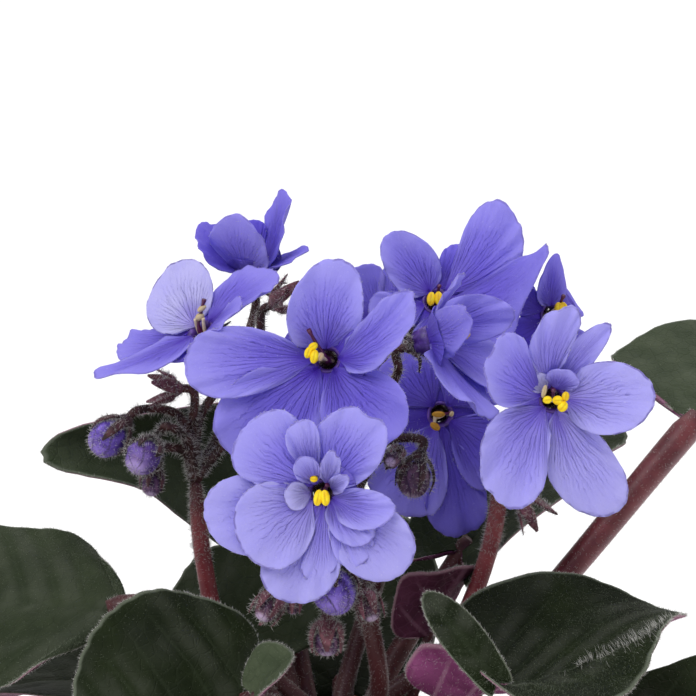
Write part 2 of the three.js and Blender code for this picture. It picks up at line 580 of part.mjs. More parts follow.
// Closed petals: a rounded body with five shallow furrows that twist towards its tip.
function budBody(size) {
  const geometry = new THREE.SphereGeometry(size, 10, 4).rotateX(Math.PI / 2);
  const place = geometry.attributes.position;
  for (let i = 0; i < place.count; i += 1) {
    const spot = new THREE.Vector3().fromBufferAttribute(place, i);
    const turn = Math.atan2(spot.y, spot.x);
    const flat = Math.hypot(spot.x, spot.y) / size;
    const swell = 1 + BUD_FURROW * flat * Math.cos(5 * turn + (2 * spot.z) / size);
    place.setXYZ(i, spot.x * swell, spot.y * swell, spot.z * BUD_LENGTH);
  }
  return solid(geometry);
}

for (const [name, bud] of Object.entries(BUDS)) {
  const group = facingGroup(bud);
  addMesh(group, `bud_${name}`, budBody(bud.size), BUD);
  plant.add(group);
}

// A calyx: a small cup with five pointed sepals. Its face lies seat behind the group's origin.
// Each sepal runs from the cup through its middle, [radius, rise] from the cup's face, to its tip.
const CALYX_DEPTH = 2.4;
const SEPAL_THICK = 0.9;

function calyx(seat, middle, tip) {
  const spots = [[0, 0, 0], [0, 0, -CALYX_DEPTH]];
  const faces = [];
  for (let i = 0; i < SEPALS; i += 1) {
    const turn = rad(90 + (360 * i) / SEPALS);
    const half = Math.PI / SEPALS;
    const spread = Math.atan2(SEPAL_WIDTH / 2, middle[0]);
    const spot = (angle, r, z) => spots.push([r * Math.cos(angle), r * Math.sin(angle), z]);
    spot(turn - half, CALYX_NOTCH_R, 0);
    spot(turn - half, CALYX_NOTCH_R, -SEPAL_THICK);
    spot(turn - spread, middle[0], middle[1]);
    spot(turn - spread, middle[0], middle[1] - SEPAL_THICK);
    spot(turn + spread, middle[0], middle[1]);
    spot(turn + spread, middle[0], middle[1] - SEPAL_THICK);
    spot(turn, tip[0], tip[1]);
  }
  const perSepal = 7;
  for (let i = 0; i < SEPALS; i += 1) {
    const [from, next] = [2 + perSepal * i, 2 + perSepal * ((i + 1) % SEPALS)];
    const [left, right, point] = [from + 2, from + 4, from + 6];
    faces.push(0, from, next, from, left, next, left, right, next, left, point, right);
    faces.push(1, next + 1, from + 1, from + 1, next + 1, left + 1, left + 1, next + 1, right + 1);
    faces.push(left + 1, right + 1, point);
    faces.push(from, from + 1, left, from + 1, left + 1, left, left, left + 1, point);
    faces.push(right, right + 1, next, right + 1, next + 1, next, point, right + 1, right);
  }
  const geometry = new THREE.BufferGeometry();
  geometry.setAttribute('position', new THREE.Float32BufferAttribute(spots.flat(), 3));
  geometry.setIndex(faces);
  return solid(geometry).translate([0, 0, -seat]);
}

const flowerCalyx = calyx(FLOWER_SEAT, [3.4, 0.6], [SEPAL_LENGTH, 0.2]);
const spentCalyx = calyx(0, [3.2, 1.6], [4.8, 4.6]);

function budCalyx(size) {
  const clear = size * (1 + BUD_FURROW) + 3 * GAP;
  return calyx(size * BUD_LENGTH + GAP, [clear, 0.75 * size], [clear + 0.2, 1.8 * size]);
}

// Flower stalks. trunk runs from the crown to where the pedicels part, and each pedicel ends
// behind a bloom, a bud or a spent calyx, after the points that it passes on its way.
const STALKS = {
  stalk_left: {
    trunk: [[-3, 0, 95], [-5.5, -0.5, 102], [-13, 0, 109], [-24, 3, 119], [-27.5, 3.5, 133], [-29, 2, 151]],
    blooms: { a: [[-24, 6, 160], [-20, 10, 174]], b: [[-28, 4, 163], [-21, 0, 174]],
      c: [[-21, 2, 160], [-10, -5, 171]] },
    buds: { left_open: [[-32, 1, 164]], left_round: [[-30.5, -2, 160], [-34, -7, 163.5]],
      left_small: [[-31, 0, 157], [-36, -3, 158]] },
    spent: [{ at: [-33.5, -1, 170], yaw: -80, pitch: 5, by: [[-29.5, 2, 161], [-28.8, 0.5, 168]] },
      { at: [-12, 9, 186], yaw: 70, pitch: 30, by: [[-22, 7, 162], [-16, 9, 174]] }],
  },
  stalk_front: {
    trunk: [[0.5, -3, 95], [2, -6, 102], [8, -18, 112], [7, -22, 124], [4, -22, 135]],
    blooms: { d: [[3, -22, 147]] },
    buds: { middle: [[3, -18, 147], [5, -15, 156], [10, -13, 161.8]],
      middle_small: [[3, -16, 149], [7, -13, 157]],
      low_left: [[-2, -24, 139], [-8, -29, 140]], low_tiny: [[-1, -24, 138], [-5, -28, 139.5]],
      low_violet: [[1, -26, 142]], low_pink: [[4, -25, 133]], low_right: [[6, -25, 137]] },
    spent: [],
  },
  stalk_right: {
    trunk: [[3, 0.5, 95], [6, 1, 102], [14, 2, 108], [22, 1, 115], [27, 1, 125], [31.5, 0, 140],
      [33, -1, 154]],
    blooms: { i: [[34, -4, 163]] },
    buds: {},
    spent: [{ at: [38.5, 0, 145.5], yaw: 50, pitch: -45, by: [[34.5, 1, 152.5], [36.5, 0.5, 150.5]] }],
  },
  stalk_back: {
    trunk: [[0, 3, 95], [0.5, 6, 102], [3, 13, 110], [9, 23, 127], [13, 26, 146], [14, 26, 156]],
    blooms: { e: [[18, 30, 172]], f: [[30, 30, 166], [42, 28, 174]],
      g: [[7, 12, 160], [9.5, 2, 168], [12, -4.5, 174.5]],
      h: [[18, 22, 160]], j: [[11, 24, 168]] },
    buds: {},
    spent: [],
  },
};

// The last few millimetres of a pedicel run straight into the calyx.
const PEDICEL_STRAIGHT = 4.2;

function pedicel(fork, passing, group, seat) {
  const end = new THREE.Vector3(0, 0, -seat - CALYX_DEPTH / 2).applyMatrix4(group.matrix);
  const behind = new THREE.Vector3(0, 0, -seat - PEDICEL_STRAIGHT).applyMatrix4(group.matrix);
  const points = [fork, ...passing.map(vec), behind, end];
  return stem(points, PEDICEL_R * 1.2, PEDICEL_R, 4, 2 + passing.length);
}

for (const [name, stalk] of Object.entries(STALKS)) {
  const trunk = stalk.trunk.map(vec);
  const fork = trunk.at(-1);
  const parts = [stem(trunk, PEDUNCLE_R, PEDUNCLE_R * 0.8, 6, 7)];
  for (const [key, passing] of Object.entries(stalk.blooms)) {
    const group = facingGroup(BLOOMS[key]);
    parts.push(pedicel(fork, passing, group, FLOWER_SEAT));
    parts.push(placed(flowerCalyx, group), placed(pistil(BLOOMS[key].style, STYLE_R), group));
  }
  for (const [key, passing] of Object.entries(stalk.buds)) {
    const bud = BUDS[key];
    const group = facingGroup(bud);
    parts.push(pedicel(fork, passing, group, bud.size * BUD_LENGTH + GAP), placed(budCalyx(bud.size), group));
  }
  for (const star of stalk.spent) {
    const group = facingGroup(star);
    parts.push(pedicel(fork, star.by, group, 0), placed(spentCalyx, group));
  }
  addMesh(plant, name, join(parts).subtract(crownSpace), STALK);
}

export default plant;
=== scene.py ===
import math

import bpy
import numpy as np
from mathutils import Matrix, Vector


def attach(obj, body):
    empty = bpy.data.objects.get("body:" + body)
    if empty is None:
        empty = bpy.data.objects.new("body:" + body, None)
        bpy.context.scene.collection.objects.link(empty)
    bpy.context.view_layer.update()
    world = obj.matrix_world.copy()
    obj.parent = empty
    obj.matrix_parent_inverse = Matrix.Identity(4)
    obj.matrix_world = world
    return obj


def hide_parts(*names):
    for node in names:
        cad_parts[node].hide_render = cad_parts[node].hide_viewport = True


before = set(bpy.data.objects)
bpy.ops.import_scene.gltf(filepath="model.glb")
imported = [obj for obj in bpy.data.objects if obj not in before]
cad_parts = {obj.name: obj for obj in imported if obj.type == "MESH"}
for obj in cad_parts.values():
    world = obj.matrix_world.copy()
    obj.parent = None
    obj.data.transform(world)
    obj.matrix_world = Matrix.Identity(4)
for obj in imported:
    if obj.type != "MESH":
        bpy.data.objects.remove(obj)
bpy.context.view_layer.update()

# A potted African violet. Its sizes are given in millimetres, like those of the solids that the
# pieces replace, and MM turns them to metres. The flowers face -Y.
MM = 0.001


# The studio: a pale floor that runs far back behind the plant, an even white surround, a broad soft
# light from the upper left and a weaker one from behind. The camera stands before the flowers, a
# little above them.
class Value:
    """A number or colour of a material. A sign between two adds the node that works out the result."""

    def __init__(self, finish, socket):
        self.finish = finish
        self.socket = socket

    def __add__(self, other):
        return self.finish.math("ADD", self, other)

    def __sub__(self, other):
        return self.finish.math("SUBTRACT", self, other)

    def __rsub__(self, other):
        return self.finish.math("SUBTRACT", other, self)

    def __mul__(self, other):
        return self.finish.math("MULTIPLY", self, other)

    def __abs__(self):
        return self.finish.math("ABSOLUTE", self)


class Finish:
    """One material. Each call adds a node to it and gives back the value that the node puts out."""

    def __init__(self, name):
        self.material = bpy.data.materials.new(name)
        self.material.use_nodes = True
        self.tree = self.material.node_tree
        self.surface = self.tree.nodes["Principled BSDF"]
        self.place = self.node("TexCoord", {}, out="Object")

    def plug(self, socket, value):
        if isinstance(value, Value):
            self.tree.links.new(value.socket, socket)
        elif isinstance(value, tuple) and socket.type == "RGBA":
            socket.default_value = (*value, 1.0)
        else:
            socket.default_value = value

    def node(self, kind, inputs, out=0, **settings):
        made = self.tree.nodes.new("ShaderNode" + kind)
        for key, value in settings.items():
            setattr(made, key, value)
        for key, value in inputs.items():
            self.plug(made.inputs[key], value)
        return Value(self, made.outputs[out])

    def math(self, operation, a, b=0.0):
        return self.node("Math", {0: a, 1: b}, operation=operation)

    def off_half(self, value):
        """How far the value is from the middle between two whole numbers."""
        return abs(self.math("FRACT", value) - 0.5)

    def fade(self, value, start, end):
        """0 before start and 1 after end, with a smooth change between them."""
        inputs = {"Value": value, "From Min": start, "From Max": end}
        return self.node("MapRange", inputs, interpolation_type="SMOOTHSTEP")

    def mix(self, share, a, b):
        return self.node("Mix", {0: share, 6: a, 7: b}, out=2, data_type="RGBA")

    def noise(self, size, detail=3.0, rough=0.55):
        """Soft noise whose blobs are about size millimetres across."""
        inputs = {"Vector": self.place, "Scale": 1 / (size * MM), "Detail": detail, "Roughness": rough}
        return self.node("TexNoise", inputs)

    def mottled(self, size, detail, dark, light, low=0.35, rough=0.55):
        """Soft patches of two colours, about size millimetres across."""
        return self.mix(self.fade(self.noise(size, detail, rough), low, 0.7), dark, light)

    def cells(self, size, feature="F1"):
        inputs = {"Vector": self.place, "Scale": 1 / (size * MM)}
        return self.node("TexVoronoi", inputs, feature=feature)

    def mark(self, name):
        """A number that the mesh carries at each of its points."""
        return self.node("Attribute", {}, out="Fac", attribute_name=name)

    def bump(self, height, depth, under=None):
        """Relief that is depth millimetres high where height goes from 0 to 1."""
        inputs = {"Height": height, "Strength": 1.0, "Distance": depth * MM}
        if under is not None:
            inputs["Normal"] = under
        return self.node("Bump", inputs)

    def set(self, **values):
        for key, value in values.items():
            self.plug(self.surface.inputs[key.replace("_", " ")], value)

    def glow_through(self, share, color):
        """Lets a share of the light through, as a thin petal or leaf does."""
        through = self.node("BsdfTranslucent", {"Color": color})
        solid = Value(self, self.surface.outputs[0])
        mixed = self.node("MixShader", {0: share, 1: solid, 2: through})
        self.plug(self.tree.nodes["Material Output"].inputs["Surface"], mixed)


FLOOR_HALF = 30.0
paper = Finish("studio_paper")
paper.set(Base_Color=(0.93, 0.93, 0.93), Roughness=0.9, Normal=paper.bump(paper.noise(3), 0.02))
floor_mesh = bpy.data.meshes.new("floor")
corners = [(x * FLOOR_HALF, y * FLOOR_HALF, 0) for x, y in ((-1, -1), (1, -1), (1, 1), (-1, 1))]
floor_mesh.from_pydata(corners, [], [(0, 1, 2, 3)])
floor_mesh.materials.append(paper.material)
floor = bpy.data.objects.new("floor", floor_mesh)
bpy.context.collection.objects.link(floor)

SURROUND_STRENGTH = 0.62
world = bpy.data.worlds.new("studio")
world.use_nodes = True
surround = world.node_tree.nodes["Background"]
surround.inputs["Color"].default_value = (1.0, 1.0, 1.0, 1.0)
surround.inputs["Strength"].default_value = SURROUND_STRENGTH
scene = bpy.context.scene
scene.world = world
scene.view_settings.view_transform = "Standard"


def towards(azimuth, rise):
    """The way from the plant to a place round it. azimuth 0 is the camera's side and 90 its right."""
    turn, tilt = math.radians(azimuth), math.radians(rise)
    return Vector((math.sin(turn) * math.cos(tilt), -math.cos(turn) * math.cos(tilt), math.sin(tilt)))


def sun(name, strength, softness, azimuth, rise):
    """A far light that looks softness degrees wide."""
    lamp = bpy.data.lights.new(name, "SUN")
    lamp.energy = strength
    lamp.angle = math.radians(softness)
    made = bpy.data.objects.new(name, lamp)
    made.rotation_euler = towards(azimuth, rise).to_track_quat("Z", "Y").to_euler()
    bpy.context.collection.objects.link(made)


sun("key_light", strength=1.5, softness=40, azimuth=-35, rise=52)
sun("back_light", strength=0.9, softness=50, azimuth=150, rise=60)

CAMERA_TARGET = Vector((2.0, 0.0, 178.0)) * MM
CAMERA_DISTANCE = 0.5
CAMERA_ELEVATION = 10
LENS_LENGTH = 129.3
lens = bpy.data.cameras.new("camera")
lens.sensor_width = 36.0
lens.lens = LENS_LENGTH
lens.clip_start = 0.01
lens.clip_end = 100.0
camera = bpy.data.objects.new("camera", lens)
away = towards(0, CAMERA_ELEVATION)
camera.location = CAMERA_TARGET + away * CAMERA_DISTANCE
camera.rotation_euler = away.to_track_quat("Z", "Y").to_euler()
bpy.context.collection.objects.link(camera)
scene.camera = camera


# The pot: plain red clay thrown on a wheel, fired without a glaze, with a deep rim and drain holes
# in its floor. Turning lines run round it, and lime from the water has dried to a pale bloom on it.
class Piece:
    """Gathers the closed shapes of one piece, then makes its mesh."""

    def __init__(self, name, finishes, marks=()):
        self.name = name
        self.finishes = finishes
        self.places = []
        self.faces = []
        self.marks = {mark: [] for mark in marks}
        self.count = 0

    def add(self, places, faces, finish, **marks):
        """faces is a list of index arrays, one row for each face. Marks that aren't given are 0."""
        places = np.asarray(places, dtype=float).reshape(-1, 3)
        material = self.finishes.index(finish)
        self.places.append(places)
        self.faces += [(np.asarray(rows) + self.count, material) for rows in faces if len(rows)]
        for name, values in self.marks.items():
            values.append(np.broadcast_to(marks.get(name, 0.0), len(places)))
        self.count += len(places)

    def build(self, slot, *nodes):
        mesh = bpy.data.meshes.new(self.name)
        mesh.vertices.add(self.count)
        mesh.vertices.foreach_set("co", (np.concatenate(self.places) * MM).ravel())
        corners = np.concatenate([rows.ravel() for rows, _ in self.faces])
        sizes = np.concatenate([np.full(len(rows), rows.shape[1]) for rows, _ in self.faces])
        mesh.loops.add(len(corners))
        mesh.loops.foreach_set("vertex_index", corners)
        mesh.polygons.add(len(sizes))
        mesh.polygons.foreach_set("loop_start", np.concatenate([[0], np.cumsum(sizes)[:-1]]))
        shades = np.concatenate([np.full(len(rows), material) for rows, material in self.faces])
        mesh.polygons.foreach_set("material_index", shades)
        mesh.polygons.foreach_set("use_smooth", np.ones(len(sizes), dtype=bool))
        for name, values in self.marks.items():
            layer = mesh.attributes.new(name, "FLOAT", "POINT")
            layer.data.foreach_set("value", np.concatenate(values))
        for finish in self.finishes:
            mesh.materials.append(finish.material)
        mesh.validate()
        made = bpy.data.objects.new(self.name, mesh)
        bpy.context.collection.objects.link(made)
        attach(made, "root")
        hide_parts(*nodes)
        return made


def grid_faces(rows, columns, closed=False):
    """Quads between the points of a grid, row after row. closed joins the last column to the first."""
    spans = columns if closed else columns - 1
    row, j = np.meshgrid(np.arange(rows - 1) * columns, np.arange(spans), indexing="ij")
    row, j = row.ravel(), j.ravel()
    ahead = (j + 1) % columns
    return np.stack([row + j, row + ahead, row + columns + ahead, row + columns + j], 1)


def tube_faces(rows, columns, flip=False):
    """The skin of a tube of rings, with a fan at each end round the two points that come after them."""
    skin = grid_faces(rows, columns, closed=True)
    near = np.arange(columns)
    far = (near + 1) % columns
    if flip:
        skin = skin[:, ::-1]
        near, far = far, near
    top = (rows - 1) * columns
    first = np.stack([np.full(columns, rows * columns), far, near], 1)
    last = np.stack([np.full(columns, rows * columns + 1), top + near, top + far], 1)
    return [skin, first, last]


def circle(count):
    return np.arange(count) * 2 * math.pi / count


def around(radius, height, turn):
    """Points at distances from the Z axis and at heights, turned about it."""
    return np.stack(np.broadcast_arrays(radius * np.cos(turn), radius * np.sin(turn), height), -1)


def lathe(profile, sides, wobble=0.0):
    """A solid of revolution about Z. The profile starts and ends on the axis."""
    profile = np.array(profile, dtype=float)
    height, turn = profile[1:-1, 1:], circle(sides)
    radius = profile[1:-1, :1] * (1 + wobble * np.sin(3 * turn + height / 9))
    ends = np.array([[0, 0, profile[0, 1]], [0, 0, profile[-1, 1]]])
    places = np.concatenate([around(radius, height, turn).reshape(-1, 3), ends])
    return places, tube_faces(len(height), sides)


POT_HEIGHT = 90
POT_BASE_R = 35
POT_SHOULDER_R = 46.5
POT_RIM_R = 53
POT_RIM_HEIGHT = 21
POT_WALL = 4.5
POT_FLOOR = 6
POT_SIDES = 112
DRAIN_COUNT = 3
DRAIN_R = 4.5
DRAIN_RING_R = 19
DRILL_SIDES = 32
DRILL_LENGTH = 30
SHOULDER_Z = POT_HEIGHT - POT_RIM_HEIGHT
ROUND = 1.5
WALL_STEP = 2.5
TURNING_DEPTH = 0.05
TURNED_FROM_R = 20


def rounded(corner, before, after, radius, steps=5):
    """Points round a corner of a profile, in place of the corner itself."""
    corner, before, after = (np.array(p, dtype=float) for p in (corner, before, after))
    start = corner + (before - corner) / np.linalg.norm(before - corner) * radius
    end = corner + (after - corner) / np.linalg.norm(after - corner) * radius
    share = np.linspace(0, 1, steps)[:, None]
    return ((1 - share) ** 2 * start + 2 * share * (1 - share) * corner + share ** 2 * end).tolist()


pot_corners = [
    (0, 0, 0),
    (POT_BASE_R, 0, ROUND),
    (POT_SHOULDER_R, SHOULDER_Z, 1.0),
    (POT_RIM_R, SHOULDER_Z, ROUND),
    (POT_RIM_R, POT_HEIGHT, 2 * ROUND),
    (POT_RIM_R - POT_WALL, POT_HEIGHT, 2 * ROUND),
    (POT_SHOULDER_R - POT_WALL, SHOULDER_Z, 3.0),
    (POT_BASE_R - POT_WALL + 1, POT_FLOOR, 3.0),
    (0, POT_FLOOR, 0),
]
outline = [[0, 0]]
for before, (r, z, radius), after in zip(pot_corners, pot_corners[1:], pot_corners[2:]):
    outline += rounded((r, z), before[:2], after[:2], radius)
outline.append([0, POT_FLOOR])
pot_profile = [outline[0]]
for near, far in zip(outline, outline[1:]):
    parts = max(1, round(math.dist(near, far) / WALL_STEP))
    pot_profile += [[near[0] + (far[0] - near[0]) * k / parts, near[1] + (far[1] - near[1]) * k / parts]
                    for k in range(1, parts + 1)]
turning = np.random.default_rng(11).normal(0, TURNING_DEPTH, len(pot_profile))
pot_profile = [[r + line if r > TURNED_FROM_R else r, z] for (r, z), line in zip(pot_profile, turning)]

clay = Finish("red_clay")
grains = clay.fade(clay.noise(0.5, 2), 0.6, 0.75)
lime = clay.fade(clay.noise(16, 6, 0.7), 0.55, 0.8)
tone = clay.mottled(22, 4, (0.50, 0.20, 0.10), (0.62, 0.29, 0.16))
tone = clay.mix(grains * 0.35, tone, (0.30, 0.12, 0.07))
tone = clay.mix(lime * 0.55, tone, (0.78, 0.66, 0.58))
height = clay.node("SeparateXYZ", {0: clay.place}, out=2)
level = clay.node("CombineXYZ", {"Z": height})
lines = clay.node("TexNoise", {"Vector": level, "Scale": 700.0, "Detail": 3.0})
clay.set(Base_Color=tone, Roughness=grains * 0.08 + 0.82)
clay.set(Normal=clay.bump(clay.noise(0.6, 4), 0.12, clay.bump(lines, 0.25)))

pot = Piece("pot_clay", [clay])
pot.add(*lathe(pot_profile, POT_SIDES), clay)
pot_object = pot.build("pot", "pot")
for k in range(DRAIN_COUNT):
    turn = math.radians(90 + 360 / DRAIN_COUNT * k)
    spot = (DRAIN_RING_R * MM * math.cos(turn), DRAIN_RING_R * MM * math.sin(turn), 0)
    bpy.ops.mesh.primitive_cylinder_add(vertices=DRILL_SIDES, radius=DRAIN_R * MM, depth=DRILL_LENGTH * MM,
                                        location=spot)
    drill = bpy.context.object
    cut = pot_object.modifiers.new("drain", "BOOLEAN")
    cut.object = drill
    bpy.context.view_layer.objects.active = pot_object
    bpy.ops.object.modifier_apply(modifier="drain")
    bpy.data.objects.remove(drill)


# The potting mix: dark moist peat, mounded a little round the crown, with white grains of perlite
# and flakes of bark on it. It fills the pot to just under the rim.
SOIL_EDGE_Z = 79
SOIL_TOP_Z = 83
SOIL_FOOT_Z = 8
SOIL_EDGE_R = 46.2
SOIL_RINGS = 46
SOIL_SIDES = 150
# How high the mix's hills are, and how far across.
SOIL_HILLS = [(0.5, 14), (0.35, 4.5), (0.25, 2)]
LUMP_WAVES = 12


def lumps(x, y, seed, size):
    """Smooth hills about size across, the same each run, most of them between -1 and 1."""
    total = np.zeros(np.broadcast(x, y).shape)
    waves = np.random.default_rng(seed)
    for _ in range(LUMP_WAVES):
        turn, start = waves.uniform(0, 2 * math.pi, 2)
        pace = waves.uniform(0.6, 1.5) * 2 * math.pi / size
        total = total + np.sin((x * math.cos(turn) + y * math.sin(turn)) * pace + start)
    return total / 5


def soil_height(x, y):
    share = np.clip(np.hypot(x, y) / SOIL_EDGE_R, 0, 1)
    height = SOIL_TOP_Z + (SOIL_EDGE_Z - SOIL_TOP_Z) * share ** 2
    for seed, (rise, size) in enumerate(SOIL_HILLS, 21):
        height = height + rise * lumps(x, y, seed, size)
    return height


peat = Finish("potting_mix")
tone = peat.mottled(2.5, 5, (0.030, 0.019, 0.013), (0.085, 0.055, 0.036), rough=0.7)
peat.set(Base_Color=tone, Roughness=0.95, Normal=peat.bump(peat.noise(1.2, 6, 0.75), 0.9))
perlite = Finish("perlite")
tone = perlite.mix(perlite.noise(1.0), (0.62, 0.60, 0.55), (0.82, 0.81, 0.78))
perlite.set(Base_Color=tone, Roughness=0.85, Normal=perlite.bump(perlite.noise(0.4, 4), 0.25))
bark = Finish("bark_flakes")
tone = bark.mix(bark.noise(0.9, 4), (0.10, 0.05, 0.025), (0.26, 0.15, 0.08))
bark.set(Base_Color=tone, Roughness=0.85, Normal=bark.bump(bark.noise(0.5, 4), 0.2))

soil = Piece("potting_mix", [peat, perlite, bark])
turn, share = np.meshgrid(circle(SOIL_SIDES), np.arange(1, SOIL_RINGS + 1) / SOIL_RINGS)
reach = share * SOIL_EDGE_R
surface = around(reach, soil_height(reach * np.cos(turn), reach * np.sin(turn)), turn)
# The mix's side follows the inside of the pot down to its floor.
side = [(SOIL_EDGE_R - 0.4, 76), (42.0, SHOULDER_Z), (32.6, SOIL_FOOT_Z)]
rings = np.concatenate([surface, *(around(r, z, turn[:1]) for r, z in side)])
middles = [[0, 0, SOIL_TOP_Z], [0, 0, SOIL_FOOT_Z]]
places = np.concatenate([rings.reshape(-1, 3), middles])
soil.add(places, tube_faces(len(rings), SOIL_SIDES, flip=True), peat)

# A crumb is a small lump with eight corners, knocked out of shape. Each kind has its number, its
# least and greatest half size, and its height as a part of its width.
CRUMB = np.array([[x, y, z] for x in (-1, 1) for y in (-1, 1) for z in (-1, 1)], dtype=float)
CRUMB_FACES = np.array([[0, 1, 3, 2], [4, 6, 7, 5], [0, 4, 5, 1], [2, 3, 7, 6], [0, 2, 6, 4], [1, 5, 7, 3]])
CRUMB_KINDS = [(230, perlite, (0.5, 1.4), 0.8), (320, bark, (0.6, 2.0), 0.3), (500, peat, (0.4, 1.3), 0.8)]
rng = np.random.default_rng(31)
for count, finish, sizes, flat in CRUMB_KINDS:
    for _ in range(count):
        turn, reach = rng.uniform(0, 2 * math.pi), SOIL_EDGE_R * 0.97 * math.sqrt(rng.uniform(0.03, 1))
        x, y = reach * math.cos(turn), reach * math.sin(turn)
        spin, _ = np.linalg.qr(rng.normal(size=(3, 3)) * [1, 1, 0.5] + np.diag([0, 0, 1.6]))
        shape = CRUMB * rng.uniform(0.55, 1.0, (8, 3)) * rng.uniform(*sizes) * [1, rng.uniform(0.5, 1), flat]
        soil.add(shape @ spin.T + [x, y, soil_height(x, y) + 0.2], [CRUMB_FACES], finish)
soil.build("soil", "soil")


# The crown: the short, thick, corky stem that carries every leaf and flower stalk. Rings of small
# scars on it show where older leaves have come away.
CROWN_R = 7.5
CROWN_FOOT_Z = 66
CROWN_TOP_Z = 99
CROWN_RINGS = 40
CROWN_SIDES = 40
SCAR_DEPTH = 0.35
cork = Finish("corky_crown")
tone = cork.mottled(2.2, 5, (0.11, 0.055, 0.035), (0.25, 0.13, 0.085))
cork.set(Base_Color=tone, Roughness=0.85, Normal=cork.bump(cork.noise(1.1, 6, 0.7), 0.5))
crown = Piece("crown_stem", [cork])
profile = [[0, CROWN_FOOT_Z]]
for z in np.linspace(CROWN_FOOT_Z, CROWN_TOP_Z - 1, CROWN_RINGS):
    shrink = min(1, math.sqrt((CROWN_TOP_Z - z) / 6))
    profile.append([(CROWN_R - 0.6) * shrink + SCAR_DEPTH * math.sin(z * 1.9), z])
profile.append([0, CROWN_TOP_Z - 1])
crown.add(*lathe(profile, CROWN_SIDES, wobble=0.03), cork)
crown.build("crown", "crown")


# The leaves: thick, soft and quilted, very dark green above and purple below, with a thick maroon
# petiole. Short whitish hairs stand on both faces and fringe the scalloped margin. Each leaf is one
# blade, bent along its midrib and cupped across it, that grows into its petiole.
def unit(v):
    v = np.asarray(v, dtype=float)
    return v / np.linalg.norm(v, axis=-1, keepdims=True)


def heading(azimuth, rise):
    turn, tilt = math.radians(azimuth), math.radians(rise)
    return np.array([math.cos(turn) * math.cos(tilt), math.sin(turn) * math.cos(tilt), math.sin(tilt)])


